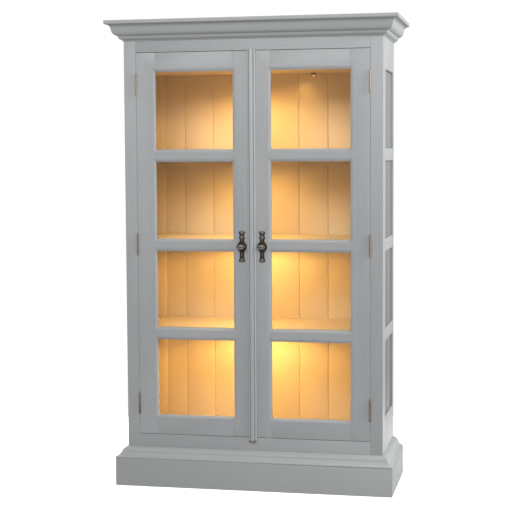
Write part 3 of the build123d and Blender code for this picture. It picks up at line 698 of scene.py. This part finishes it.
class Workpiece:
    """One mesh on the bench, shaped with Blender's own modelling tools.

    A face slopes, or looks a certain way, if its unit normal goes far enough that way.
    """

    sharp_angle: float = math.radians(30.0)
    flat_angle: float = math.radians(0.5)
    merge_distance: float = 0.00001
    rounding_steps: int = 2
    slope_least: float = 0.5
    lined_least: float = 0.6

    def __init__(self, item: bpy.types.Object, name: str) -> None:
        """Take up an object and name it."""
        self.item = item
        item.name = item.data.name = name

    @classmethod
    def packed_copy(cls, name: str, node: str) -> Workpiece:
        """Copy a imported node's mesh, merge its loose triangles and clear its flat seams.

        Args:
            name: The new piece's name.
            node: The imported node.

        Returns:
            The copy.
        """
        mesh = FRAME["nodes"][node].data.copy()
        mesh.materials.clear()
        item = bpy.data.objects.new(name, mesh)
        bpy.context.scene.collection.objects.link(item)
        piece = cls(item, name)
        with piece.editing():
            bpy.ops.mesh.select_all(action="SELECT")
            bpy.ops.mesh.customdata_custom_splitnormals_clear()
            bpy.ops.mesh.remove_doubles(threshold=cls.merge_distance)
            bpy.ops.mesh.dissolve_limited(angle_limit=cls.flat_angle)
        return piece

    @classmethod
    def run(cls, name: str, outline: Sequence[Vector], travel: Vector) -> Workpiece:
        """Draw a section as a polygon and extrude it into a run.

        Args:
            name: The new piece's name.
            outline: The section's corners, in order.
            travel: The length and direction of the run.

        Returns:
            The run.
        """
        clear_selection()
        bpy.ops.mesh.primitive_circle_add(vertices=len(outline), radius=1.0, fill_type="NGON")
        piece = cls(bpy.context.object, name)
        for vertex, corner in zip(piece.item.data.vertices, outline):
            vertex.co = corner
        with piece.editing():
            bpy.ops.mesh.select_all(action="SELECT")
            bpy.ops.mesh.extrude_region_move(TRANSFORM_OT_translate={"value": travel})
        piece.face_outwards()
        return piece

    @classmethod
    def turned(
        cls, name: str, centre: Vector, towards: Facing, shape: Sequence[Ring], sides: int
    ) -> Workpiece:
        """Extrude a ring through a row of stations, resizing it at each, and put it in place.

        Args:
            name: The new piece's name.
            centre: Where the axis starts.
            towards: The way that the axis points.
            shape: The rings, in order along the axis.
            sides: How many sides each ring has.

        Returns:
            The closed shape.
        """
        clear_selection()
        first = shape[0]
        bpy.ops.mesh.primitive_circle_add(
            vertices=sides, radius=1.0, fill_type="NGON", location=(0.0, 0.0, first.along)
        )
        piece = cls(bpy.context.object, name)
        piece.item.scale = (first.wide, first.deep, 1.0)
        piece.settle()
        with piece.editing():
            bpy.ops.mesh.select_all(action="SELECT")
            for last, ring in zip(shape, shape[1:]):
                step = (0.0, 0.0, ring.along - last.along)
                bpy.ops.mesh.extrude_region_move(TRANSFORM_OT_translate={"value": step})
                bpy.ops.transform.resize(
                    value=(ring.wide / last.wide, ring.deep / last.deep, 1.0),
                    center_override=(0.0, 0.0, ring.along),
                )
        turn = Vector(Facing.UP.value).rotation_difference(Vector(towards.value))
        piece.item.rotation_euler = turn.to_euler()
        piece.item.location = centre
        piece.settle()
        piece.face_outwards()
        return piece

    def pick(self) -> None:
        """Select the piece alone and make it the active one."""
        clear_selection()
        self.item.select_set(True)
        bpy.context.view_layer.objects.active = self.item

    @contextmanager
    def editing(self, select: str = "EDGE") -> Iterator[bmesh.types.BMesh]:
        """Open the piece alone in edit mode with nothing selected, and close it afterwards.

        Args:
            select: The kind of element to pick, such as EDGE or FACE.

        Yields:
            The mesh being edited.
        """
        self.pick()
        bpy.ops.object.mode_set(mode="EDIT")
        bpy.ops.mesh.select_mode(type=select)
        bpy.ops.mesh.select_all(action="DESELECT")
        yield bmesh.from_edit_mesh(self.item.data)
        bpy.ops.object.mode_set(mode="OBJECT")

    def settle(self) -> None:
        """Move the piece's place, turn and scale into its mesh."""
        self.pick()
        bpy.ops.object.transform_apply(location=True, rotation=True, scale=True)

    def face_outwards(self) -> None:
        """Turn every face of the closed mesh outwards."""
        with self.editing():
            bpy.ops.mesh.select_all(action="SELECT")
            bpy.ops.mesh.normals_make_consistent(inside=False)

    def trim(self, point: Vector, normal: Vector) -> None:
        """Saw off what lies past a plane and close the cut.

        Args:
            point: A point on the saw cut.
            normal: The way towards the waste.
        """
        with self.editing():
            bpy.ops.mesh.select_all(action="SELECT")
            bpy.ops.mesh.bisect(plane_co=point, plane_no=normal, use_fill=True, clear_outer=True)
        self.face_outwards()

    def ease(self, width: float, shortest: float = 0.006) -> None:
        """Round each long outward corner and mark the new faces as rubbed.

        Args:
            width: The width of the rounding.
            shortest: Edges shorter than this stay as they are.
        """
        with self.editing() as mesh:
            for edge in mesh.edges:
                edge.select_set(
                    edge.is_manifold
                    and edge.is_convex
                    and edge.calc_face_angle(0.0) > self.sharp_angle
                    and edge.calc_length() >= shortest
                )
            bmesh.update_edit_mesh(self.item.data)
            bpy.ops.mesh.bevel(
                offset=width,
                segments=self.rounding_steps,
                affect="EDGES",
                clamp_overlap=True,
                material=1,
            )
        with self.editing("FACE") as mesh:
            for face in mesh.faces:
                face.select_set(face.material_index == 1)
                face.material_index = 0
            self.mark_chosen(Mark.RUB)

    def mark_chosen(self, mark: Mark) -> None:
        """Write a mark on the faces that are selected in edit mode.

        Args:
            mark: The mark.
        """
        mesh = bmesh.from_edit_mesh(self.item.data)
        layers = mesh.faces.layers.float
        layer = layers.get(mark.value) or layers.new(mark.value)
        for face in mesh.faces:
            if face.select:
                face[layer] = 1.0
        bmesh.update_edit_mesh(self.item.data)

    def mark_slopes(self, mark: Mark) -> None:
        """Write a mark on the upright faces that look sideways and to the front or back at once.

        Args:
            mark: The mark.
        """
        with self.editing("FACE") as mesh:
            for face in mesh.faces:
                face.select_set(min(abs(face.normal.x), abs(face.normal.y)) > self.slope_least)
            self.mark_chosen(mark)

    def widen(self, past: float, step: float) -> None:
        """Move the corners that are far from the cabinet's middle farther out.

        Args:
            past: The distance from the middle beyond which a corner moves.
            step: How far it moves.
        """
        with self.editing("VERT") as mesh:
            side = math.copysign(1.0, next(iter(mesh.verts)).co.x)
            for corner in mesh.verts:
                corner.select_set(abs(corner.co.x) > past)
            bmesh.update_edit_mesh(self.item.data)
            bpy.ops.transform.translate(value=(side * step, 0.0, 0.0))

    def mark_where(self, mark: Mark, test: Callable[[Vector], bool]) -> None:
        """Write a mark on the faces whose middle passes a test.

        Args:
            mark: The mark.
            test: Says yes or no to a face's middle.
        """
        with self.editing("FACE") as mesh:
            for face in mesh.faces:
                face.select_set(test(face.calc_center_median()))
            self.mark_chosen(mark)

    def score(self, point: Vector, normal: Vector) -> None:
        """Cut the faces that a plane crosses in two, and leave both parts.

        Args:
            point: A point on the plane.
            normal: The plane's direction.
        """
        with self.editing():
            bpy.ops.mesh.select_all(action="SELECT")
            bpy.ops.mesh.bisect(plane_co=point, plane_no=normal)

    def dress(
        self,
        main: bpy.types.Material,
        lining: bpy.types.Material | None = None,
        lined: Sequence[Facing] = (),
        reach: float = math.inf,
    ) -> None:
        """Paint the piece, and line the faces that look certain ways with a second finish.

        Args:
            main: The finish of the whole piece.
            lining: The second finish, if there is one.
            lined: The ways that the lined faces look.
            reach: How far to either side of the middle the lining goes.
        """
        self.item.data.materials.append(main)
        if lining is None:
            return
        self.item.data.materials.append(lining)
        for face in self.item.data.polygons:
            towards = max((face.normal.dot(Vector(way.value)) for way in lined), default=0.0)
            if towards > self.lined_least and abs(face.center.x) < reach:
                face.material_index = 1

    def fit(self, body: str, slot: Slot, node: str, angle: float = 24.0) -> None:
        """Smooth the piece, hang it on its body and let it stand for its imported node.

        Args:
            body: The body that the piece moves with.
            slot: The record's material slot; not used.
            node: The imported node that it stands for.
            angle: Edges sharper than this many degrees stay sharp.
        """
        self.pick()
        bpy.ops.object.shade_smooth_by_angle(angle=math.radians(angle))
        clear_selection()
        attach(self.item, body)
        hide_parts(node)
        LOG.info("%s: %d faces, rides on %s", self.item.name, len(self.item.data.polygons), body)


def dress_node(node: str, material: bpy.types.Material) -> None:
    """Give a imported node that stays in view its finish.

    Args:
        node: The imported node.
        material: The finish.
    """
    for slot in FRAME["nodes"][node].material_slots:
        slot.material = material
    LOG.info("%s: carried over in %s", node, material.name)


def curve(start: Point, middle: Point, end: Point, steps: int) -> list[Point]:
    """Return points along the arc through three points, leaving out the first.

    Args:
        start: Where the arc starts.
        middle: A point on the arc.
        end: Where the arc ends.
        steps: How many straight parts the arc has.

    Returns:
        The points after the start.
    """
    (ax, ay), (bx, by), (cx, cy) = start, middle, end
    # The arc's circle is about (ox, oy), at the same distance from all three points.
    twice = 2.0 * (ax * (by - cy) + bx * (cy - ay) + cx * (ay - by))
    a2, b2, c2 = ax * ax + ay * ay, bx * bx + by * by, cx * cx + cy * cy
    ox = (a2 * (by - cy) + b2 * (cy - ay) + c2 * (ay - by)) / twice
    oy = (a2 * (cx - bx) + b2 * (ax - cx) + c2 * (bx - ax)) / twice
    radius = math.hypot(ax - ox, ay - oy)
    first, half, last = (math.atan2(y - oy, x - ox) for x, y in (start, middle, end))
    turn = (last - first) % math.tau
    if (half - first) % math.tau > turn:
        turn -= math.tau
    angles = [first + turn * step / steps for step in range(1, steps + 1)]
    return [(ox + radius * math.cos(angle), oy + radius * math.sin(angle)) for angle in angles]


# ---------------------------------------------------------------- planed timber
@dataclass(frozen=True)
class Timber:
    """One planed length of timber, eased along its corners and painted.

    The faces that look in the lined directions get the cream paint, as far to either side as the
    lining reaches. A timber marked for groove shade gets painted shade on the sloping faces of its
    V grooves, and a widened one has its outer edge, which lies past the door edge, moved outwards.
    """

    node: str
    grain: Grain
    lined: tuple[Facing, ...] = ()
    paint: BrushedPaint = GREY_PAINT
    ease: float = 0.0011
    lining_reach: float = 0.567
    grimed: bool = False
    widened: float = 0.0
    door_edge: float = 0.525

    def make(self) -> None:
        """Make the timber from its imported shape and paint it."""
        piece = Workpiece.packed_copy(f"{self.node}_timber", self.node)
        # Painted shade: the sloping faces of the board grooves are marked for the paint to darken.
        if self.grimed:
            piece.mark_slopes(Mark.GRIME)
        if self.widened:
            piece.widen(self.door_edge, self.widened)
        piece.ease(self.ease)
        packed = FRAME["nodes"][self.node]
        lining = CREAM_PAINT.material(self.grain) if self.lined else None
        if lining:
            across = Vector(Facing.RIGHT.value)
            for hand in Hand:
                piece.score(across * hand.value * self.lining_reach, across)
        piece.dress(self.paint.material(self.grain), lining, self.lined, self.lining_reach)
        piece.fit(packed["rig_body"], Slot(packed.data.materials[0].name), self.node)


@dataclass
class Carcass:
    """The standing frame: posts, boarded sides and back, rails, shelves and boards."""

    ease: float = 0.0012
    fine_ease: float = 0.0006
    groove_ease: float = 0.0004
    cleat_ease: float = 0.0015
    timbers: list[Timber] = field(default_factory=list)

    def plan(self) -> None:
        """List each timber with its grain and the faces that the cream lining covers."""
        for hand in Hand:
            inward = Facing.LEFT if hand is Hand.RIGHT else Facing.RIGHT
            side = hand.word
            self.timbers += [
                Timber(f"front_post_{side}", Grain.UPRIGHT, (Facing.BACK,), ease=self.fine_ease),
                Timber(f"rear_post_{side}", Grain.UPRIGHT, (inward, Facing.FRONT), ease=self.ease),
                Timber(f"side_rails_{side}", Grain.DEEP, ease=self.ease),
                # The side boards wear the darker board paint: painted shade for their recess.
                Timber(
                    f"side_boards_{side}", Grain.UPRIGHT, (inward,),
                    paint=SHADED_BOARD_PAINT, ease=self.groove_ease, grimed=True,
                ),
            ]
        self.timbers += [
            Timber("frieze_rail", Grain.ACROSS, ease=self.ease),
            Timber("base_rail", Grain.ACROSS, ease=self.ease),
            Timber("door_stop_rail", Grain.ACROSS, (Facing.BACK, Facing.DOWN)),
            Timber("back_boards", Grain.UPRIGHT, (Facing.FRONT,), ease=self.groove_ease),
            Timber("top_board", Grain.ACROSS, ease=self.ease),
            Timber("sub_base", Grain.ACROSS, ease=self.ease),
            Timber("ceiling_board", Grain.ACROSS, paint=CREAM_PAINT, ease=self.fine_ease),
            Timber("floor_board", Grain.ACROSS, paint=CREAM_PAINT, ease=self.fine_ease),
            Timber("shelf_cleats", Grain.ACROSS, paint=CREAM_PAINT, ease=self.cleat_ease),
        ]
        self.timbers += [
            Timber(f"shelf_{level}", Grain.ACROSS, paint=CREAM_PAINT, ease=self.fine_ease)
            for level in ("lower", "middle", "upper")
        ]

    def make(self) -> None:
        """Make every timber of the frame."""
        self.plan()
        for timber in self.timbers:
            timber.make()


# ---------------------------------------------------------------- mouldings
@dataclass
class MouldedRun:
    """A moulding that goes round the front and both sides, mitred at the front corners.

    The section's points are in millimetres, out from the carcass and up from the level.
    """

    title: str
    node: str
    level: float
    section: list[Point]
    side_paint: BrushedPaint = SHADED_MOULDING_PAINT
    ease: float = 0.0006
    shortest: float = 0.05
    spare: float = 0.12

    def make(self) -> None:
        """Make the front run and the two side runs."""
        post_low, post_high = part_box("front_post_right")
        half, front, back = post_high.x, post_low.y, CAD_BOUNDS[1].y
        profile = [(out * MM, self.level + up * MM) for out, up in self.section]
        corner = {hand: Vector((hand.value * half, front, 0.0)) for hand in Hand}
        outline = [Vector((-half - self.spare, front - out, up)) for out, up in profile]
        travel = Vector((2 * (half + self.spare), 0.0, 0.0))
        piece = Workpiece.run(f"{self.title}_front", outline, travel)
        for hand in Hand:
            piece.trim(corner[hand], Vector((hand.value, 1.0, 0.0)))
        # The front run wears the darker moulding paint: painted shade.
        self.complete(piece, f"{self.node}_front", SHADED_MOULDING_PAINT.material(Grain.ACROSS))
        travel = Vector((0.0, back - front + self.spare, 0.0))
        for hand in Hand:
            outline = [
                Vector((hand.value * (half + out), front - self.spare, up)) for out, up in profile
            ]
            piece = Workpiece.run(f"{self.title}_{hand.word}", outline, travel)
            piece.trim(corner[hand], Vector((-hand.value, -1.0, 0.0)))
            self.complete(piece, f"{self.node}_{hand.word}", self.side_paint.material(Grain.DEEP))

    def complete(self, piece: Workpiece, node: str, paint: bpy.types.Material) -> None:
        """Ease a run's corners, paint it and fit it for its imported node.

        Args:
            piece: The run.
            node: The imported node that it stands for.
            paint: Its finish.
        """
        piece.ease(self.ease, shortest=self.shortest)
        piece.dress(paint)
        piece.fit("carcass", Slot.GREY_PAINT, node)


def crown_section() -> list[Point]:
    """Draw the crown moulding's section: hollows and rounds that step in under a square edge.

    Returns:
        Its corners.
    """
    points = [(0.0, -89.0), (0.0, 0.0), (70.2, 0.0), (71.0, -0.8), (71.0, -13.0)]
    points += curve((71.0, -13.0), (70.0, -15.8), (67.0, -17.0), 5)
    points += [(62.0, -18.0)]
    points += curve((62.0, -18.0), (50.8, -24.5), (46.0, -36.0), 10)
    points += [(42.5, -50.0)]
    points += curve((42.5, -50.0), (37.5, -58.0), (27.0, -65.0), 8)
    points += [(21.5, -67.0), (19.0, -75.0)]
    points += curve((19.0, -75.0), (13.0, -81.0), (4.0, -85.0), 8)
    return points + [(3.0, -89.0)]


def base_section() -> list[Point]:
    """Draw the base moulding's section: a bead, a hollow and a quarter round.

    Returns:
        Its corners.
    """
    points = [(0.0, 0.0), (45.0, 0.0)]
    points += curve((45.0, 0.0), (47.0, 4.0), (44.0, 8.0), 6)
    points += [(40.0, 9.0)]
    points += curve((40.0, 9.0), (32.0, 14.0), (27.0, 23.0), 8)
    points += [(24.0, 25.0)]
    points += curve((24.0, 25.0), (17.0, 39.5), (3.0, 46.0), 9)
    return points + [(2.0, 48.0), (0.0, 48.0)]


def plinth_section() -> list[Point]:
    """Draw the plinth board's section, with a rounded top edge and an eased foot.

    Returns:
        Its corners.
    """
    points = [(25.0, 0.0), (46.2, 0.0), (47.0, 1.2), (47.0, 122.5)]
    points += curve((47.0, 122.5), (46.0, 125.0), (43.5, 126.0), 4)
    return points + [(25.0, 126.0)]


# ---------------------------------------------------------------- doors
@dataclass
class Door:
    """One glazed door leaf: stiles, rails, glazing bars, beads and panes.

    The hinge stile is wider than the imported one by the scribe, for a close seam at the post.
    """

    hand: Hand
    ease: float = 0.0009
    bead_ease: float = 0.0015
    hinge_stile_ease: float = 0.0004
    scribe: float = 0.0018

    def make(self) -> None:
        """Make the leaf's timber and glaze it."""
        side = self.hand.word
        Timber(
            f"{side}_hinge_stile", Grain.UPRIGHT, ease=self.hinge_stile_ease, widened=self.scribe
        ).make()
        for part, grain, ease in (
            ("meeting_stile", Grain.UPRIGHT, self.ease),
            ("door_rails", Grain.ACROSS, self.ease),
            ("glazing_bars", Grain.ACROSS, self.ease),
            ("glazing_beads", Grain.ACROSS, self.bead_ease),
        ):
            Timber(f"{side}_{part}", grain, ease=ease).make()
        dress_node(f"{side}_panes", PaneGlass().material())
        dress_node(f"{side}_door_leaves", BRASS.material())
        dress_node(f"{side}_leaf_screws", STEEL.material())


@dataclass
class MeetingStrip:
    """The beaded strip that covers the seam between the doors, planted on the right door.

    The section's sizes are in millimetres: a flat between two beads, with a quirk beside each.
    """

    height: float = 11.0
    flat: float = 7.6
    quirk: float = 8.0
    slant: float = 0.4
    edge: float = 0.8
    bead: float = 4.1
    bead_steps: int = 14
    stand_off: float = 0.3
    ease: float = 0.0008
    shortest: float = 0.004

    def make(self) -> None:
        """Extrude the beaded section up the doors and ease its corners."""
        low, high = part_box("meeting_strip")
        middle, half = (low.x + high.x) / 2, (high.x - low.x) / 2 / MM
        outer, inner = (half, self.bead), (half - 2 * self.bead, self.bead)
        right = [(half, 0.0), outer]
        right += curve(outer, (half - self.bead, 2 * self.bead), inner, self.bead_steps)
        right += [
            (self.flat + self.slant, self.quirk),
            (self.flat, self.height - self.edge),
            (self.flat - self.edge, self.height),
        ]
        section = right + [(-across, out) for across, out in reversed(right)]
        outline = [
            Vector((middle + across * MM, max(high.y - (out + self.stand_off) * MM, low.y), low.z))
            for across, out in section
        ]
        piece = Workpiece.run("astragal_strip", outline, Vector((0.0, 0.0, high.z - low.z)))
        piece.ease(self.ease, shortest=self.shortest)
        # The strip wears the lighter paint: painted light.
        piece.dress(LIT_STRIP_PAINT.material(Grain.UPRIGHT))
        piece.fit("right_door", Slot.GREY_PAINT, "meeting_strip")


@dataclass
class HandleSet:
    """A cast back plate with finials and an oval turn knob on one door.

    What stands farther off the door than the rub heights is worn bright.
    """

    hand: Hand
    plate_sides: int = 36
    knob_sides: int = 48
    plate_rub: float = 0.0029
    knob_rub: float = 0.0295
    smoothing: float = 55.0
    plate: list[Ring] = field(
        default_factory=lambda: rings(
            (-71.0, 1.5, 0.8), (-70.3, 6.0, 1.8), (-68.6, 10.6, 2.9), (-65.5, 13.8, 3.6),
            (-61.5, 14.9, 3.9), (-57.5, 13.8, 3.6), (-54.5, 11.4, 3.0), (-52.5, 10.6, 2.7),
            (-50.5, 11.3, 3.1), (-48.5, 10.6, 2.7), (-42.0, 10.2, 2.9), (-34.0, 10.0, 3.0),
            (-27.0, 10.3, 3.0), (-22.5, 11.0, 2.9), (-19.0, 13.4, 2.8), (-15.5, 17.0, 2.8),
            (-10.5, 20.4, 2.9), (-5.0, 22.1, 3.0), (0.0, 22.5, 3.0), (5.0, 22.1, 3.0),
            (10.5, 20.4, 2.9), (15.5, 17.0, 2.8), (19.0, 13.4, 2.8), (22.5, 11.0, 2.9),
            (27.0, 10.2, 3.0), (31.0, 10.2, 3.0), (33.5, 11.6, 3.3), (36.5, 13.3, 3.8),
            (40.0, 13.9, 4.1), (43.5, 13.3, 3.8), (46.5, 11.4, 3.2), (48.5, 10.4, 2.8),
            (51.0, 11.2, 3.1), (53.2, 10.4, 2.7), (55.5, 11.6, 3.0), (58.5, 13.9, 3.6),
            (62.0, 14.8, 3.9), (65.5, 13.9, 3.6), (68.5, 10.6, 2.9), (70.3, 6.0, 1.8),
            (71.0, 1.5, 0.8),
        )
    )
    knob: list[Ring] = field(
        default_factory=lambda: rings(
            (-28.0, 5.0, 5.0), (3.3, 5.0, 5.0), (3.35, 8.3, 8.3), (4.0, 8.8, 8.8),
            (6.4, 9.0, 9.0), (7.6, 8.4, 8.4), (8.4, 6.9, 6.9), (9.6, 6.6, 6.6),
            (10.6, 7.2, 7.2), (11.6, 6.4, 6.4), (13.2, 5.4, 5.4), (15.4, 5.4, 5.2),
            (17.0, 6.6, 6.0), (18.2, 9.6, 7.6), (19.6, 13.4, 9.3), (21.4, 16.8, 10.8),
            (23.6, 19.0, 11.7), (26.0, 20.0, 12.0), (28.4, 19.5, 11.8), (30.4, 17.6, 10.8),
            (32.2, 14.2, 8.9), (33.4, 9.6, 6.2), (34.0, 4.4, 2.9),
        )
    )

    def make(self) -> None:
        """Cast the plate, saw its back flat on the door, and turn the knob."""
        side = self.hand.word
        plate_low, plate_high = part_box(f"{side}_handle_plate")
        middle = (plate_low + plate_high) / 2
        door_face = plate_high.y
        centre = Vector((middle.x, door_face, middle.z))
        plate = Workpiece.turned(
            f"{side}_back_plate", centre, Facing.UP, self.plate, self.plate_sides
        )
        plate.trim(centre, Vector(Facing.BACK.value))
        plate.mark_where(Mark.RUB, lambda point: point.y < door_face - self.plate_rub)
        plate.dress(BRONZE.material())
        plate.fit(f"{side}_door", Slot.BRONZE, f"{side}_handle_plate", angle=self.smoothing)
        knob = Workpiece.turned(
            f"{side}_oval_knob", centre, Facing.FRONT, self.knob, self.knob_sides
        )
        knob.mark_where(Mark.RUB, lambda point: point.y < door_face - self.knob_rub)
        knob.dress(BRONZE.material())
        knob.fit(f"{side}_knob", Slot.BRONZE, f"{side}_turn_knob", angle=self.smoothing)
        dress_node(f"{side}_latch_tongue", STEEL.material())


# ---------------------------------------------------------------- lamps
@dataclass(frozen=True)
class LampSpot:
    """One spot lamp: its place, its power in watts, its spread in degrees and its soft rim."""

    name: str
    x: float
    y: float
    under: float
    watts: float
    spread: float
    soft: float = 1.0


@dataclass
class SpotLamps:
    """The small spot lamps under the shelves and the ceiling, with their lenses.

    The row is the four lamps at the middle, one above another, and the corner lamp stands alone.
    """

    colour: Colour = (1.0, 0.57, 0.16)
    row: Point = (0.0, -0.050)
    corner: Point = (0.217, 0.197)
    body_sides: int = 40
    lens_sides: int = 32
    lens_smoothing: float = 60.0
    bulb: float = 0.012
    body: list[Ring] = field(
        default_factory=lambda: rings(
            (0.0, 13.0, 13.0), (1.3, 13.0, 13.0), (2.0, 12.3, 12.3), (2.05, 11.2, 11.2),
            (3.0, 11.0, 11.0), (12.2, 11.0, 11.0), (13.0, 10.3, 10.3), (13.0, 9.3, 9.3),
            (10.4, 9.0, 9.0),
        )
    )
    lens: list[Ring] = field(
        default_factory=lambda: rings(
            (10.0, 9.0, 9.0), (11.2, 8.8, 8.8), (12.2, 7.4, 7.4), (12.8, 4.6, 4.6), (13.0, 1.4, 1.4)
        )
    )
    light_drop: float = 0.0145
    light_shift: float = -0.05

    def spots(self) -> list[LampSpot]:
        """Set the lamps out under the shelves and the ceiling.

        Returns:
            The lamps.
        """
        lower, middle, upper, ceiling = (
            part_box(node)[0].z
            for node in ("shelf_lower", "shelf_middle", "shelf_upper", "ceiling_board")
        )
        return [
            LampSpot("lower_lamp", *self.row, lower, watts=14.9, spread=177.0, soft=0.35),
            LampSpot("middle_lamp", *self.row, middle, watts=10.6, spread=178.0, soft=0.3),
            LampSpot("upper_lamp", *self.row, upper, watts=10.4, spread=174.0, soft=0.8),
            LampSpot("ceiling_lamp", *self.row, ceiling, watts=12.2, spread=166.0, soft=0.7),
            LampSpot("corner_lamp", *self.corner, ceiling, watts=0.4, spread=120.0),
        ]

    def make(self) -> None:
        """Turn each lamp and its lens, and light it."""
        for spot in self.spots():
            top = Vector((spot.x, spot.y, spot.under))
            case = Workpiece.turned(
                f"{spot.name}_case", top, Facing.DOWN, self.body, self.body_sides
            )
            case.dress(LAMP_METAL.material())
            case.fit("carcass", Slot.LAMP_METAL, "spot_lamps")
            lens = Workpiece.turned(
                f"{spot.name}_lens", top, Facing.DOWN, self.lens, self.lens_sides
            )
            lens.dress(LampLens().material())
            lens.fit("carcass", Slot.LAMP_LENS, "lamp_lenses", angle=self.lens_smoothing)
            self.light(spot)

    def light(self, spot: LampSpot) -> None:
        """Put the light of one lamp under its lens, shifted a little to the side.

        Args:
            spot: The lamp.
        """
        lamp = bpy.data.lights.new(f"{spot.name}_light", "SPOT")
        lamp.energy = spot.watts
        lamp.color = self.colour
        lamp.spot_size = math.radians(spot.spread)
        lamp.spot_blend = spot.soft
        lamp.shadow_soft_size = self.bulb
        item = bpy.data.objects.new(lamp.name, lamp)
        item.location = (spot.x + self.light_shift, spot.y, spot.under - self.light_drop)
        bpy.context.scene.collection.objects.link(item)


# ---------------------------------------------------------------- studio
@dataclass(frozen=True)
class SoftBox:
    """A rectangular studio light that faces a point."""

    name: str
    place: Place
    aim: Place
    size: tuple[float, float]
    watts: float

    def make(self) -> None:
        """Hang the light and turn it to its aim."""
        lamp = bpy.data.lights.new(self.name, "AREA")
        lamp.shape = "RECTANGLE"
        lamp.size, lamp.size_y = self.size
        lamp.energy = self.watts
        item = bpy.data.objects.new(self.name, lamp)
        item.location = self.place
        look = Vector(self.aim) - Vector(self.place)
        item.rotation_euler = look.to_track_quat("-Z", "Y").to_euler()
        item.visible_camera = False
        bpy.context.scene.collection.objects.link(item)


@dataclass
class Studio:
    """A plain pale floor, a white surround, soft lights and the camera.

    The camera's turn is its heading, its pitch and its roll in degrees.
    """

    boxes: tuple[SoftBox, ...] = (
        SoftBox("right_key", (4.2, -0.35, 2.7), aim=(0.6, 0.1, 1.6), size=(2.0, 2.2), watts=220.0),
        SoftBox("rear_fill", (-3.2, 3.8, 3.2), aim=(0.0, 0.0, 1.1), size=(2.6, 2.0), watts=170.0),
        SoftBox("front_fill", (-0.2, -4.2, 3.6), aim=(0.0, 0.0, 1.3), size=(3.0, 1.6), watts=117.0),
    )
    floor_radius: float = 1.7
    floor_drop: float = 0.0005
    floor_sides: int = 128
    floor_colour: Colour = (0.86, 0.86, 0.86)
    floor_mottle: Colour = (0.84, 0.84, 0.85)
    mottle_scale: float = 3.0
    floor_roughness: float = 0.9
    floor_glow: Colour = (0.6, 0.6, 0.6)
    glow_from: float = 0.6
    surround: float = 0.39
    surround_colour: Colour = (0.97, 0.985, 1.0)
    backdrop: float = 1.02
    lens: float = 95.0
    camera_place: Place = (1.243, -6.048, 1.498)
    camera_turn: Place = (-11.80, -4.26, -0.31)

    def make(self) -> None:
        """Set the floor, the surround, the lights and the camera."""
        self.lay_floor()
        self.surround_with_white()
        for box in self.boxes:
            box.make()
        self.set_camera()
        bpy.context.scene.view_settings.view_transform = "Standard"

    def lay_floor(self) -> None:
        """Lay a wide pale disc under the cabinet."""
        clear_selection()
        bpy.ops.mesh.primitive_circle_add(
            vertices=self.floor_sides,
            radius=self.floor_radius,
            fill_type="NGON",
            location=(0.0, 0.0, -self.floor_drop),
        )
        floor = Workpiece(bpy.context.object, "studio_floor")
        floor.settle()
        sheet = ShaderSheet.for_material("pale_floor")
        mottle = sheet.noise(sheet.place(), self.mottle_scale, detail=3.0)
        length = sheet.node("ShaderNodeVectorMath", {"operation": "LENGTH"}, {0: sheet.place()})
        far = Signal(sheet, length.outputs["Value"]).between(self.glow_from, self.floor_radius)
        floor.dress(
            sheet.principled(
                {
                    "Base Color": sheet.blend(mottle, self.floor_colour, self.floor_mottle),
                    "Roughness": self.floor_roughness,
                    "Specular IOR Level": 0.0,
                    "Emission Color": sheet.blend(far, self.floor_glow, WHITE),
                    "Emission Strength": 1.0,
                }
            )
        )
        floor.item.visible_diffuse = False

    def surround_with_white(self) -> None:
        """Fill the surround with soft light, and show it as plain white behind the cabinet."""
        world = bpy.data.worlds.new("studio_surround")
        bpy.context.scene.world = world
        sheet = ShaderSheet(world)
        soft, seen = (
            sheet.node("ShaderNodeBackground", {}, {"Color": tint, "Strength": power}).outputs[0]
            for tint, power in ((self.surround_colour, self.surround), (WHITE, self.backdrop))
        )
        direct = sheet.node("ShaderNodeLightPath").outputs["Is Camera Ray"]
        mixed = sheet.node("ShaderNodeMixShader", {}, {0: direct, 1: soft, 2: seen}).outputs[0]
        sheet.node("ShaderNodeOutputWorld", {}, {"Surface": mixed})

    def set_camera(self) -> None:
        """Stand the camera where it sees the front and the right side."""
        heading, pitch, roll = (math.radians(angle) for angle in self.camera_turn)
        forward = math.cos(pitch)
        ahead = Vector((math.sin(heading) * forward, math.cos(heading) * forward, math.sin(pitch)))
        level = ahead.cross(Vector(Facing.UP.value)).normalized()
        top = level.cross(ahead)
        across = level * math.cos(roll) + top * math.sin(roll)
        above = top * math.cos(roll) - level * math.sin(roll)
        camera = bpy.data.cameras.new("studio_camera")
        camera.lens = self.lens
        item = bpy.data.objects.new("studio_camera", camera)
        turn = Matrix((across, above, -ahead)).transposed().to_4x4()
        item.matrix_world = Matrix.Translation(Vector(self.camera_place)) @ turn
        bpy.context.scene.collection.objects.link(item)
        bpy.context.scene.camera = item


# ---------------------------------------------------------------- the cabinet
def write_sizes() -> None:
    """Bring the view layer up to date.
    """
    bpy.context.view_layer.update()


def main() -> None:
    """Build the cabinet's pieces in order, and then the studio round it."""
    logging.basicConfig(level=logging.INFO, format="%(name)s %(message)s")
    Carcass().make()
    crown_level = CAD_BOUNDS[1].z
    plinth_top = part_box("plinth_board_front")[1].z
    MouldedRun("crown_moulding", "cornice", crown_level, crown_section()).make()
    MouldedRun("base_moulding", "plinth_moulding", plinth_top, base_section()).make()
    # The plinth's side runs wear the darker board paint: painted shade.
    MouldedRun("plinth_face", "plinth_board", 0.0, plinth_section(), SHADED_BOARD_PAINT).make()
    for hand in Hand:
        Door(hand).make()
        HandleSet(hand).make()
    MeetingStrip().make()
    for node, finish in (
        ("frame_leaves", BRASS),
        ("hinge_pins", BRASS),
        ("frame_leaf_screws", STEEL),
        ("latch_keeps", STEEL),
        ("light_driver", MouldedPlastic()),
        ("cable_grommet", MouldedPlastic()),
    ):
        dress_node(node, finish.material())
    SpotLamps().make()
    Studio().make()
    write_sizes()


if __name__ == "__main__":
    main()
